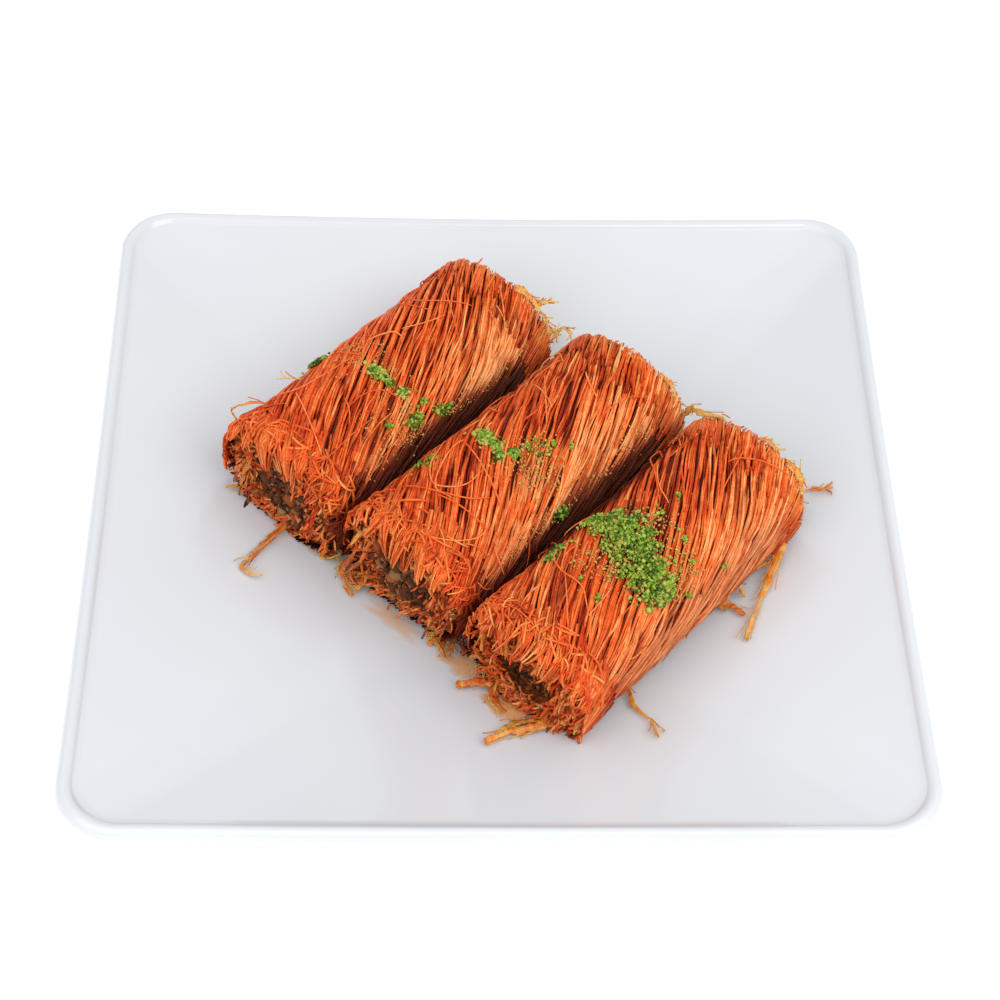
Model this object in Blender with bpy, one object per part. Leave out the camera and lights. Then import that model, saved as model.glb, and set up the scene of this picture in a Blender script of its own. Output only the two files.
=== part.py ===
"""Burma kadayif: three rolls of twisted pastry threads round a nut filling, side by side on a square plate.

Metres, +Z up. The origin is on the table under the middle of the plate. Each roll has a frame of its
own: along runs from its left cut end to its right one, and turn is the angle round it from its top,
positive on the side of the roll after it.
"""
import math
import random

import bmesh
import bpy
from mathutils import Matrix, Vector, noise
from mathutils.bvhtree import BVHTree

MM = 0.001
GAP = 0.4 * MM
WELD = 0.001 * MM

# Plate: a square coupe plate with a bead round its edge and a foot ring
PLATE_HALF = 90 * MM
PLATE_CORNER = 13 * MM
PLATE_HEIGHT = 20 * MM
PLATE_FLOOR = 4.6 * MM
PLATE_WALL = 3.4 * MM
DISH_HALF = 86.4 * MM
DISH_EDGE = 18.7 * MM
DISH_POWER = 2.6
SIDE_DIP = 1.3 * MM
SIDE_BOW = 0.27 * MM
FOOT_OUTER = 47 * MM
FOOT_INNER = 41 * MM
RECESS_HEIGHT = 1.5 * MM
SIDE_STEPS = 5
ARC_STEPS = 4

# Rolls: left end, right end, width and height of each, and how far its filling stands out of its ends
ROLLS = (
    {"name": "roll_1", "left": (-47.5, -0.3), "right": (0.3, 52.5), "width": 34.0, "height": 29.0, "out": 0.6},
    {"name": "roll_2", "left": (-20.5, -23.9), "right": (30.1, 29.3), "width": 33.6, "height": 28.0, "out": 1.0},
    {"name": "roll_3", "left": (5.6, -50.5), "right": (55.5, 4.6), "width": 32.4, "height": 27.6, "out": -2.6},
)
ROLL_BASE = 6.0 * MM
SECTION_POWER = 2.3
BASE_POWER = 3.0

# Locks of threads twist round each roll as ridges
RIDGES = 22
STATIONS = 15
TWIST_STEPS = 19
RIDGE_HIGH = 0.35 * MM
RIDGE_DEEP = 0.95 * MM
LUMP = 0.3 * MM
LUMP_SIZE = 14 * MM
END_RAG = 1.3 * MM
END_ROUND = 2.6 * MM
SHOULDER_ROUND = 0.5 * MM

# Filling: an oval core that runs through each roll
HOLE_HALF_WIDTH = 9.2 * MM
HOLE_HALF_HEIGHT = 7.6 * MM
HOLE_DROP = 1.5 * MM
FILLING_LUMP = 0.9 * MM

# Nut crumbs: along and turn of each heap's middle in mm and degrees, its two spreads and its count
CRUMB_HEAPS = {
    "roll_1": (
        (22.5, -42, 3.0, 9, 5),
        (29.6, 8, 2.2, 18, 6),
        (28.5, 50, 1.6, 7, 3),
        (36.5, 57, 1.4, 5, 2),
    ),
    "roll_2": (
        (32.6, -16, 2.0, 20, 7),
        (31.0, 9, 2.0, 7, 4),
        (31.6, 66, 1.8, 5, 3),
    ),
    "roll_3": (
        (32.5, -2, 5.5, 24, 20),
        (28.6, 36, 3.2, 12, 7),
        (49.9, -4, 0.4, 2, 1),
        (41.9, 24, 0.4, 2, 1),
    ),
}
CRUMB_SMALL = 0.8 * MM
CRUMB_LARGE = 1.3 * MM
CRUMB_SEGMENTS = 5
CRUMB_RINGS = 4

# Threads that stand clear of the locks: along, turn at both ends in mm and degrees, and lift in mm
RAISED_THREADS = {
    "roll_1": ((14, -30, 4, 30, 0.9), (44, -50, 30, -12, 1.0), (60, -20, 50, 24, 0.8), (70, 6, 60, 44, 0.8)),
    "roll_2": ((24, -52, 9, -14, 1.2), (28, -30, 20, 34, 1.3), (12, -6, 14, 40, 1.2), (56, -34, 44, 4, 1.0)),
    "roll_3": ((56, -44, 46, -10, 1.2), (70, 6, 56, 20, 0.9), (18, -20, 6, 18, 1.2), (20, 24, 5, 46, 1.0)),
}
THREAD_RADIUS = 0.38 * MM
THREAD_DIP = 2.2
THREAD_STEPS = 7

# Ends of threads that hang over the cut ends, and their reach past the end
TUFTS_LEFT = 9
TUFTS_RIGHT = 6
TUFT_REACH = 2.4 * MM

# Shreds: the roll that holds each, its width and thickness in mm, and its path on the plate in mm,
# with the height of each point above the dish
SHREDS = (
    ("roll_1", 1.3, 0.6, ((-41.5, 2.5, 2.0), (-45.9, 0.0, 1.0), (-50.3, -5.5, 0.8), (-54.6, -11.3, 0.7),
                          (-56.4, -14.2, 0.7), (-54.2, -16.2, 0.8), (-51.7, -16.3, 1.2))),
    ("roll_1", 1.2, 0.6, ((-47.0, 8.5, 2.4), (-53.5, 8.0, 2.6), (-57.5, 8.2, 1.6), (-61.0, 7.9, 0.9))),
    ("roll_2", 1.8, 0.8, ((-25.5, -15.5, 2.6), (-30.0, -11.4, 2.8), (-33.6, -11.0, 1.6), (-33.8, -15.6, 0.8),
                          (-31.7, -19.9, 0.8))),
    ("roll_2", 1.6, 0.8, ((-13.5, -26.0, 2.6), (-13.0, -30.0, 1.2), (-12.4, -33.5, 0.9), (-11.3, -37.2, 0.9))),
    ("roll_3", 2.4, 0.9, ((18.5, -51.0, 2.2), (12.9, -54.4, 1.4), (7.9, -57.1, 1.0), (1.8, -58.7, 0.9),
                          (-3.2, -61.7, 1.0))),
    ("roll_3", 2.0, 0.9, ((2.5, -43.5, 2.4), (-0.4, -43.9, 1.8), (-5.9, -44.5, 1.0), (-9.1, -44.8, 0.9))),
    ("roll_3", 1.0, 0.5, ((22.5, -42.5, 2.4), (27.5, -45.3, 1.0), (28.7, -50.7, 0.7), (32.0, -55.0, 0.7),
                          (33.3, -60.2, 0.8))),
    ("roll_3", 2.2, 0.8, ((57.0, -11.5, 4.5), (60.4, -12.5, 4.2), (61.9, -14.4, 3.0), (61.0, -17.2, 1.6),
                          (59.1, -20.6, 1.0), (56.3, -27.1, 0.8), (53.7, -33.2, 0.7))),
    ("roll_3", 2.6, 0.9, ((44.5, -19.0, 2.4), (47.8, -22.7, 1.4), (51.5, -23.9, 1.0), (54.2, -27.0, 0.9))),
    ("roll_3", 1.6, 0.7, ((61.0, -4.5, 5.0), (66.0, 1.0, 3.6), (67.6, 2.6, 2.4), (69.5, 0.2, 1.2))),
)
LOOSE_SHRED = (0.9, 0.5, ((70.5, 5.8, 0.8), (72.5, 5.9, 0.8), (74.5, 5.3, 0.8), (76.4, 5.3, 0.9)))
SHRED_TIP = 0.45


def clear_scene():
    """Removes every object of the file it starts in."""
    for item in list(bpy.data.objects):
        bpy.data.objects.remove(item, do_unlink=True)


def new_collection(name):
    """A collection in the scene."""
    collection = bpy.data.collections.new(name)
    bpy.context.scene.collection.children.link(collection)
    return collection


def principled(name, colour, roughness):
    """A plain Principled material."""
    material = bpy.data.materials.new(name)
    material.use_nodes = True
    shader = material.node_tree.nodes["Principled BSDF"]
    shader.inputs["Base Color"].default_value = (*colour, 1.0)
    shader.inputs["Roughness"].default_value = roughness
    shader.inputs["Metallic"].default_value = 0.0
    return material


def mesh_object(name, verts, faces, material, collection):
    """An object from vertices and faces, with its faces turned outwards."""
    mesh = bpy.data.meshes.new(name)
    mesh.from_pydata([tuple(v) for v in verts], [], faces)
    work = bmesh.new()
    work.from_mesh(mesh)
    bmesh.ops.recalc_face_normals(work, faces=work.faces)
    work.to_mesh(mesh)
    work.free()
    mesh.materials.append(material)
    item = bpy.data.objects.new(name, mesh)
    collection.objects.link(item)
    return item


def loft(rings):
    """Quads between rings of equal length."""
    faces = []
    count = len(rings[0])
    for step in range(len(rings) - 1):
        first, second = step * count, (step + 1) * count
        for k in range(count):
            ahead = (k + 1) % count
            faces.append((first + k, first + ahead, second + ahead, second + k))
    return faces


# Plate

def square_ring(half, corner):
    """Points round a square with round corners, its sides bowed in a little."""
    points = []
    for quarter in range(4):
        spin = Matrix.Rotation(quarter * math.pi / 2, 2)
        flat = half - corner
        for k in range(SIDE_STEPS):
            across = flat * (2 * k / SIDE_STEPS - 1)
            bow = SIDE_BOW * (half / PLATE_HALF) * (1 - (across / half) ** 2)
            points.append(spin @ Vector((half - bow, across)))
        for k in range(ARC_STEPS):
            angle = math.pi / 2 * k / ARC_STEPS
            points.append(spin @ Vector((flat + corner * math.cos(angle), flat + corner * math.sin(angle))))
    return points


def dip(point, half):
    """How much lower the plate is towards the middles of its sides."""
    near, far = sorted((abs(point.x), abs(point.y)))
    return SIDE_DIP * (half / PLATE_HALF) ** 2 * (1 - (near / far) ** 2)


def dish_height(half):
    """Height of the dish at a distance from its middle."""
    return PLATE_FLOOR + (DISH_EDGE - PLATE_FLOOR) * (half / DISH_HALF) ** DISH_POWER


def plate_stations():
    """Half side, corner radius and height of each ring, from the dish's middle over the edge to the foot."""
    dish = [(half * MM, corner * MM, dish_height(half * MM))
            for half, corner in ((9, 8), (18, 15), (28, 19), (38, 17), (48, 14), (58, 12), (68, 11), (77, 10.5))]
    edge = [
        (DISH_HALF, 10.5 * MM, DISH_EDGE),
        (87.3 * MM, 11 * MM, 19.6 * MM),
        (88.4 * MM, 11.8 * MM, PLATE_HEIGHT),
        (89.5 * MM, 12.6 * MM, 19.3 * MM),
        (PLATE_HALF, PLATE_CORNER, 18.0 * MM),
        (89.4 * MM, 12.6 * MM, 16.9 * MM),
        (88.0 * MM, 11.6 * MM, 16.4 * MM),
    ]
    under = [(half * MM, 11 * MM, dish_height(half * MM) - PLATE_WALL) for half in (82, 70, 58)]
    foot = [
        (FOOT_OUTER + 2.4 * MM, 12 * MM, 3.4 * MM),
        (FOOT_OUTER + 0.6 * MM, 12 * MM, 0.6 * MM),
        (FOOT_OUTER, 12 * MM, 0.0),
        (FOOT_INNER, 11 * MM, 0.0),
        (FOOT_INNER - 1.2 * MM, 11 * MM, RECESS_HEIGHT),
        (18 * MM, 13 * MM, RECESS_HEIGHT),
    ]
    return dish + edge + under + foot


def build_plate(material, collection):
    """The plate: square rings lofted over its edge, closed by a point in its dish and one under it."""
    verts = []
    rings = []
    stations = plate_stations()
    foot_start = len(stations) - 6
    for index, (half, corner, height) in enumerate(stations):
        ring = square_ring(half, corner)
        rings.append(ring)
        for point in ring:
            lower = dip(point, half) if index < foot_start else 0.0
            verts.append(Vector((point.x, point.y, height - lower)))
    faces = loft(rings)
    count = len(rings[0])
    verts.append(Vector((0, 0, PLATE_FLOOR)))
    verts.append(Vector((0, 0, RECESS_HEIGHT)))
    last = (len(rings) - 1) * count
    for k in range(count):
        faces.append((len(verts) - 2, (k + 1) % count, k))
        faces.append((len(verts) - 1, last + k, last + (k + 1) % count))
    plate = mesh_object("plate", verts, faces, material, collection)
    plate.data.shade_smooth()
    plate.data.set_sharp_from_angle(angle=math.radians(50))
    return plate


# Rolls

class Roll:
    """A roll's frame and its section."""

    def __init__(self, sizes, dish):
        self.name = sizes["name"]
        self.left = Vector((*sizes["left"], 0)) * MM
        axis = Vector((*sizes["right"], 0)) * MM - self.left
        self.length = axis.length
        self.axis = axis.normalized()
        self.side = Vector((self.axis.y, -self.axis.x, 0))
        self.half_width = sizes["width"] * MM / 2
        self.half_height = sizes["height"] * MM / 2
        self.middle = ROLL_BASE + self.half_height
        self.filling_out = sizes["out"] * MM
        self.dish = dish

    def floor(self, point):
        """Height of the dish under a point."""
        hit = self.dish.ray_cast(Vector((point.x, point.y, PLATE_HEIGHT * 4)), Vector((0, 0, -1)))
        return hit[0].z

    def rested(self, point, gap=GAP):
        """The point, lifted where it would sink into the dish."""
        return Vector((point.x, point.y, max(point.z, self.floor(point) + gap)))

    def point(self, along, turn, out=0.0):
        """A point on the roll, by its place along the axis and its angle from the top."""
        across, up = math.sin(turn), math.cos(turn)
        power = SECTION_POWER if up > 0 else BASE_POWER
        reach = (abs(across) ** power + abs(up) ** power) ** (-1 / power)
        place = self.left + self.axis * along + self.side * (self.half_width + out) * reach * across
        place.z = self.middle + (self.half_height + out) * reach * up
        return self.rested(place)

    def hole_point(self, along, turn, inset=0.0):
        """A point on the wall of the hole through the roll."""
        place = self.left + self.axis * along + self.side * (HOLE_HALF_WIDTH - inset) * math.sin(turn)
        place.z = self.middle - HOLE_DROP + (HOLE_HALF_HEIGHT - inset) * math.cos(turn)
        return place


def lump(point, size, seed):
    """Soft random bumps from -1 to 1."""
    return noise.noise(point / size + Vector((seed, 0, 0)))


def build_wrap(roll, seed, material, collection):
    """The threads of a roll: twisted ridges round an oval hole, with ragged ends."""
    draw = random.Random(seed)
    count = RIDGES * 2
    high = [draw.uniform(0.4, 1.0) * RIDGE_HIGH if k % 2 else -draw.uniform(0.6, 1.0) * RIDGE_DEEP
            for k in range(count)]
    twist = -2 * math.pi * TWIST_STEPS / count / roll.length
    rings = []

    def outer_ring(along, sunk, rag):
        ring = []
        for k in range(count):
            place = along + rag * draw.uniform(-1, 1)
            turn = 2 * math.pi * k / count + twist * along
            base = roll.point(place, turn)
            ring.append(roll.point(place, turn, high[k] - sunk + LUMP * lump(base, LUMP_SIZE, seed)))
        return ring

    def face_ring(along, share, rag):
        """A ring on an end face, part of the way from the hole to the outside."""
        turns = [2 * math.pi * k / count + twist * along for k in range(count)]
        places = [along + rag * draw.uniform(-1, 1) for _ in turns]
        return [roll.hole_point(place, turn).lerp(roll.point(place, turn), share)
                for place, turn in zip(places, turns)]

    rings.append(face_ring(0.0, 0.0, 0.0))
    rings.append(face_ring(0.0, 0.5, END_RAG * 0.8))
    for station in range(STATIONS):
        along = roll.length * station / (STATIONS - 1)
        from_end = min(station, STATIONS - 1 - station)
        sunk = (END_ROUND, SHOULDER_ROUND)[from_end] if from_end < 2 else 0.0
        rings.append(outer_ring(along, sunk, END_RAG if from_end == 0 else 0.0))
    rings.append(face_ring(roll.length, 0.5, END_RAG * 0.8))
    rings.append(face_ring(roll.length, 0.0, 0.0))

    verts = [v for ring in rings for v in ring]
    faces = loft(rings)
    first_of_last = (len(rings) - 1) * count
    for k in range(count):
        near, far = k, (k + 1) % count
        faces.append((near, far, first_of_last + (far + TWIST_STEPS) % count,
                      first_of_last + (near + TWIST_STEPS) % count))
    wrap = mesh_object(roll.name + "_wrap", verts, faces, material, collection)
    triangulate(wrap)
    return wrap


def triangulate(item):
    """Splits every face into triangles."""
    work = bmesh.new()
    work.from_mesh(item.data)
    bmesh.ops.triangulate(work, faces=work.faces)
    work.to_mesh(item.data)
    work.free()


def build_filling(roll, seed, material, collection):
    """The nut filling: an oval core from end to end, with crumbly faces."""
    draw = random.Random(seed)
    count = RIDGES
    inset = GAP
    start, stop = -roll.filling_out, roll.length + min(roll.filling_out, 0.0)
    plan = ((start, 0.45, FILLING_LUMP), (start + 0.4 * MM, 0.8, FILLING_LUMP), (start + 1.2 * MM, 1.0, 0.2 * MM),
            (stop - 1.2 * MM, 1.0, 0.2 * MM), (stop - 0.4 * MM, 0.8, FILLING_LUMP), (stop, 0.45, FILLING_LUMP))
    middle = roll.hole_point(0, 0, HOLE_HALF_HEIGHT)
    verts = []
    rings = []
    for along, share, rag in plan:
        centre = middle + roll.axis * along
        ring = [centre.lerp(roll.hole_point(along, 2 * math.pi * k / count, inset), share)
                + roll.axis * rag * draw.uniform(-0.5, 0.5) for k in range(count)]
        rings.append(ring)
        verts.extend(ring)
    faces = loft(rings)
    verts.append(middle + roll.axis * (start - 0.3 * MM))
    verts.append(middle + roll.axis * (stop + 0.3 * MM))
    last = (len(rings) - 1) * count
    for k in range(count):
        faces.append((len(verts) - 2, (k + 1) % count, k))
        faces.append((len(verts) - 1, last + k, last + (k + 1) % count))
    filling = mesh_object(roll.name + "_filling", verts, faces, material, collection)
    triangulate(filling)
    return filling


# Pieces fused to the rolls

def build_crumb(name, centre, radius, draw, material, collection):
    """A crumb: a low ball, stretched and turned at random."""
    work = bmesh.new()
    bmesh.ops.create_uvsphere(work, u_segments=CRUMB_SEGMENTS, v_segments=CRUMB_RINGS, radius=radius)
    stretch = Matrix.Diagonal((draw.uniform(0.8, 1.2), draw.uniform(0.8, 1.2), draw.uniform(0.7, 1.0), 1))
    spin = Matrix.Rotation(draw.uniform(0, math.tau), 4, Vector((draw.random(), draw.random(), 1)).normalized())
    bmesh.ops.transform(work, matrix=Matrix.Translation(centre) @ spin @ stretch, verts=work.verts)
    mesh = bpy.data.meshes.new(name)
    work.to_mesh(mesh)
    work.free()
    mesh.materials.append(material)
    item = bpy.data.objects.new(name, mesh)
    collection.objects.link(item)


def smooth_path(points, steps):
    """Points at even steps of a curve through the given ones."""
    padded = [points[0] * 2 - points[1], *points, points[-1] * 2 - points[-2]]
    spans = len(points) - 1
    path = []
    for k in range(steps):
        place = spans * k / (steps - 1)
        span = min(int(place), spans - 1)
        t = place - span
        a, b, c, d = padded[span:span + 4]
        path.append(0.5 * (2 * b + (c - a) * t + (2 * a - 5 * b + 4 * c - d) * t * t
                           + (3 * b - a - 3 * c + d) * t ** 3))
    return path


def build_strip(name, path, width, thick, up, material, collection):
    """A strip along a path: four-sided, thinner at its free end, its flat side facing up."""
    verts = []
    rings = []
    last = len(path) - 1
    for k, point in enumerate(path):
        ahead = (path[min(k + 1, last)] - path[max(k - 1, 0)]).normalized()
        flat = ahead.cross(up(point)).normalized()
        lift = flat.cross(ahead).normalized()
        share = 1 - (1 - SHRED_TIP) * (k / last) ** 2
        ring = [point + flat * width * share / 2, point + lift * thick * share / 2,
                point - flat * width * share / 2, point - lift * thick * share / 2]
        rings.append(ring)
        verts.extend(ring)
    faces = loft(rings)
    faces.append(tuple(range(4)))
    faces.append(tuple(range(last * 4, last * 4 + 4)))
    item = mesh_object(name, verts, faces, material, collection)
    triangulate(item)
    return item


def add_crumbs(roll, seed, material, collection):
    """The crumbs of a roll's heaps, each sunk a little in the threads."""
    draw = random.Random(seed)
    for heap, (along, turn, along_spread, turn_spread, count) in enumerate(CRUMB_HEAPS[roll.name]):
        for k in range(count):
            place = (along + along_spread * draw.uniform(-1, 1)) * MM
            angle = math.radians(turn + turn_spread * draw.uniform(-1, 1))
            radius = draw.uniform(CRUMB_SMALL, CRUMB_LARGE)
            centre = roll.point(place, angle, radius * 0.45)
            build_crumb(f"crumb_{roll.name}_{heap}_{k}", centre, radius, draw, material, collection)


def add_threads(roll, material, collection):
    """Single threads that arch over the locks and dip into them at both ends."""
    axis_height = Vector((0, 0, roll.middle))

    def outwards(point):
        along = (point - roll.left).dot(roll.axis)
        return (point - roll.left - roll.axis * along - axis_height).normalized()

    for index, (along_0, turn_0, along_1, turn_1, lift) in enumerate(RAISED_THREADS[roll.name]):
        path = []
        for k in range(THREAD_STEPS):
            share = k / (THREAD_STEPS - 1)
            out = (lift + THREAD_DIP) * math.sin(math.pi * share) ** 0.5 - THREAD_DIP
            path.append(roll.point((along_0 + (along_1 - along_0) * share) * MM,
                                   math.radians(turn_0 + (turn_1 - turn_0) * share), out * MM))
        build_strip(f"thread_{roll.name}_{index}", path, THREAD_RADIUS * 2, THREAD_RADIUS * 2,
                    outwards, material, collection)


def add_tufts(roll, seed, material, collection):
    """Ends of threads that stick out of the cut ends and droop."""
    draw = random.Random(seed)
    for end, number in ((0, TUFTS_LEFT), (1, TUFTS_RIGHT)):
        for k in range(number):
            turn = math.radians(-80 + 160 * (k + draw.uniform(0.2, 0.8)) / number)
            reach = TUFT_REACH * draw.uniform(0.5, 1.0)
            stations = ((-3.2 * MM, -1.4 * MM), (0.4 * MM, -1.5 * MM), (reach, -2.4 * MM), (reach * 1.2, -4.2 * MM))
            path = []
            for past, out in stations:
                along = roll.length + past if end else -past
                path.append(roll.point(along, turn + past * 20, out))
            build_strip(f"tuft_{roll.name}_{end}_{k}", path, 1.3 * MM, 0.9 * MM,
                        lambda point: Vector((0, 0, 1)), material, collection)


def shred_path(points, dish_floor, thick):
    """A shred's path in metres, kept clear of the dish."""
    world = []
    for x, y, height in points:
        place = Vector((x * MM, y * MM, 0))
        place.z = dish_floor(place) + GAP + height * MM
        world.append(place)
    path = smooth_path(world, 3 * len(points) - 1)
    for place in path:
        place.z = max(place.z, dish_floor(place) + GAP + thick / 2)
    return path


def add_shreds(roll, material, collection):
    """Wide shreds that have slipped from the roll onto the plate."""
    for index, (owner, width, thick, points) in enumerate(SHREDS):
        if owner == roll.name:
            path = shred_path(points, roll.floor, thick * MM)
            build_strip(f"shred_{index}", path, width * MM, thick * MM,
                        lambda point: Vector((0, 0, 1)), material, collection)


def fuse(item, pieces):
    """Joins every piece of a collection to the item, and removes the pieces."""
    union = item.modifiers.new("fuse", "BOOLEAN")
    union.operation = "UNION"
    union.operand_type = "COLLECTION"
    union.collection = pieces
    union.solver = "MANIFOLD"
    bpy.context.view_layer.update()
    fused = bpy.data.meshes.new_from_object(item.evaluated_get(bpy.context.evaluated_depsgraph_get()))
    item.modifiers.clear()
    item.data = fused
    for piece in list(pieces.objects):
        bpy.data.objects.remove(piece, do_unlink=True)
    bpy.data.collections.remove(pieces)


def keep_largest_body(item):
    """Welds what lies closer than a hair, and drops the loose scraps that the joining left."""
    work = bmesh.new()
    work.from_mesh(item.data)
    bmesh.ops.remove_doubles(work, verts=work.verts, dist=WELD)
    left = set(work.faces)
    bodies = []
    while left:
        stack = [left.pop()]
        body = list(stack)
        while stack:
            for edge in stack.pop().edges:
                for face in edge.link_faces:
                    if face in left:
                        left.discard(face)
                        body.append(face)
                        stack.append(face)
        bodies.append(body)
    bodies.sort(key=len)
    for body in bodies[:-1]:
        bmesh.ops.delete(work, geom=body, context="FACES")
    work.to_mesh(item.data)
    work.free()


def main():
    clear_scene()
    part = new_collection("burma_kadayif")
    ceramic = principled("white_glaze", (0.80, 0.82, 0.84), 0.18)
    pastry = principled("fried_threads", (0.62, 0.14, 0.035), 0.45)
    nuts = principled("nut_filling", (0.16, 0.075, 0.035), 0.5)
    pale = principled("pale_shred", (0.72, 0.28, 0.07), 0.5)

    plate = build_plate(ceramic, part)
    bpy.context.view_layer.update()
    dish = BVHTree.FromPolygons([v.co for v in plate.data.vertices], [p.vertices for p in plate.data.polygons])

    for number, sizes in enumerate(ROLLS, start=1):
        roll = Roll(sizes, dish)
        wrap = build_wrap(roll, number, pastry, part)
        pieces = new_collection("pieces_" + roll.name)
        add_crumbs(roll, 10 + number, pastry, pieces)
        add_threads(roll, pastry, pieces)
        add_tufts(roll, 20 + number, pastry, pieces)
        add_shreds(roll, pastry, pieces)
        fuse(wrap, pieces)
        keep_largest_body(wrap)
        build_filling(roll, 30 + number, nuts, part)

    width, thick, points = LOOSE_SHRED
    build_strip("loose_shred", shred_path(points, roll.floor, thick * MM), width * MM, thick * MM,
                lambda point: Vector((0, 0, 1)), pale, part)


main()
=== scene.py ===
import math

import bmesh
import bpy
import numpy as np
from mathutils import Matrix, Vector


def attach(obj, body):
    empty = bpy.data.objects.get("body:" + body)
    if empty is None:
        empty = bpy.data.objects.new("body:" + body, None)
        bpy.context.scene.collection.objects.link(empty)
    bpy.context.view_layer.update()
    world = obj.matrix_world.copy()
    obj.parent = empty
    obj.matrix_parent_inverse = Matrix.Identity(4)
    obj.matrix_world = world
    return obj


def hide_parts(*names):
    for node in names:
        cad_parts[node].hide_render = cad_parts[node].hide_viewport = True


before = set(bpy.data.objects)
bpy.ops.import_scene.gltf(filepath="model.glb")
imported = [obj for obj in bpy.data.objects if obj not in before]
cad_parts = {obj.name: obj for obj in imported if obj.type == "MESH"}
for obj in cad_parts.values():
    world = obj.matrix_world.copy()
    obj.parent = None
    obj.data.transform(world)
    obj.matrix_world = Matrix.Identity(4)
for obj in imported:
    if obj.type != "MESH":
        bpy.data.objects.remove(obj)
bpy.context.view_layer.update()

MM = 0.001
UP = np.array((0, 0, 1.0))

# Surroundings
SKY_COLOUR = (0.94, 0.97, 1.0, 1)
SKY_STRENGTH = 0.82
FLOOR_REACH = 3.0
# Lights over the plate: name, place, size, power and colour
LIGHTS = (
    ("window", (0.46, -0.40, 0.78), 0.7, 4.0, (1.0, 0.98, 0.96)),
    ("room", (-0.36, -0.52, 0.72), 0.9, 2.9, (0.97, 0.98, 1.0)),
)

# Camera, fitted to the outline of the plate, with its angles in degrees
CAMERA_PLACE = (-16.56 * MM, -344.29 * MM, 424.14 * MM)
CAMERA_YAW = -2.897
CAMERA_PITCH = 49.798
CAMERA_ROLL = 2.597
FOCAL_RATIO = 2.38956
SENSOR = 36.0

# Plate, as in the frame
PLATE_HALF = 90 * MM
PLATE_FLOOR = 4.6 * MM
PLATE_WALL = 3.4 * MM
DISH_HALF = 86.4 * MM
DISH_EDGE = 18.7 * MM
DISH_POWER = 2.6
SIDE_DIP = 1.3 * MM
SIDE_BOW = 0.27 * MM
RECESS_HEIGHT = 1.5
CLEAR = 0.35 * MM
# Rings of the plate in mm: half side, corner radius and height
BEAD = ((87.3, 11.0, 19.6), (88.4, 11.8, 20.0), (89.5, 12.6, 19.3), (90.0, 13.0, 18.0), (89.4, 12.6, 16.9),
        (88.0, 11.6, 16.4))
FOOT = ((49.4, 12, 3.4), (48.2, 12, 1.6), (47.6, 12, 0.5), (47, 12, 0), (41, 11, 0), (40.4, 11, 0.6),
        (39.8, 11, RECESS_HEIGHT), (18, 13, RECESS_HEIGHT))

# Rolls, as in the frame, in mm: name, left end, right end, width, height, and how far the filling stands out
ROLLS = (
    ("roll_1", (-47.5, -0.3), (0.3, 52.5), 34.0, 29.0, 0.6),
    ("roll_2", (-20.5, -23.9), (30.1, 29.3), 33.6, 28.0, 1.0),
    ("roll_3", (5.6, -50.5), (55.5, 4.6), 32.4, 27.6, -2.6),
)
ROLL_BASE = 6.0 * MM
UNEVENNESS = 0.45 * MM
CORE_DEPTH = 1.0 * MM
ROLL_TOP = 36.1 * MM
SECTION_POWER = 2.3
BASE_POWER = 3.0
HOLE_HALF_WIDTH = 9.2 * MM
HOLE_HALF_HEIGHT = 7.6 * MM
HOLE_DROP = 1.5 * MM

# Threads
THREAD_LEAN = math.radians(58)
THREAD_RADIUS = 0.28 * MM
LOCK_PITCH = 2.1 * MM
LINE_STEPS = 40
TURN_OF_PHASE = 6.3
# Share of the threads that lean in a way of their own, and of those with loose ends
ODD_THREADS = 0.04
LOOSE_ENDS = 0.2
# Layers of threads, deepest first: pitch in mm, pieces to a line, steps, height in mm, relief, length in mm,
# spread of the lean in degrees and tone
THREAD_LAYERS = (
    (0.74, 2, 14, -0.85, 0.4, (50, 95), 0.8, 0.41),
    (0.64, 3, 16, -0.42, 0.8, (26, 60), 0.9, 0.53),
    (0.82, 3, 15, -0.16, 1.0, (16, 44), 1.2, 0.59),
    (1.60, 3, 17, -0.02, 1.0, (12, 38), 3.0, 0.63),
)
# How far the threads at the left ends hang down, from and to, in mm
HANG_REACH = {"roll_1": (2.5, 11.5), "roll_2": (2.0, 11.0), "roll_3": (4.0, 13.0)}

# Threads that stand off the rolls, as in the frame: along mm, turn, to along mm, turn, and lift in mm
RAISED_THREADS = {
    "roll_1": ((14, -30, 4, 30, 0.9), (44, -50, 30, -12, 1.0), (60, -20, 50, 24, 0.8), (70, 6, 60, 44, 0.8)),
    "roll_2": ((24, -52, 9, -14, 1.2), (28, -30, 20, 34, 1.3), (12, -6, 14, 40, 1.2), (56, -34, 44, 4, 1.0)),
    "roll_3": ((56, -44, 46, -10, 1.2), (70, 6, 56, 20, 0.9), (18, -20, 6, 18, 1.2), (20, 24, 5, 46, 1.0)),
}
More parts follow.
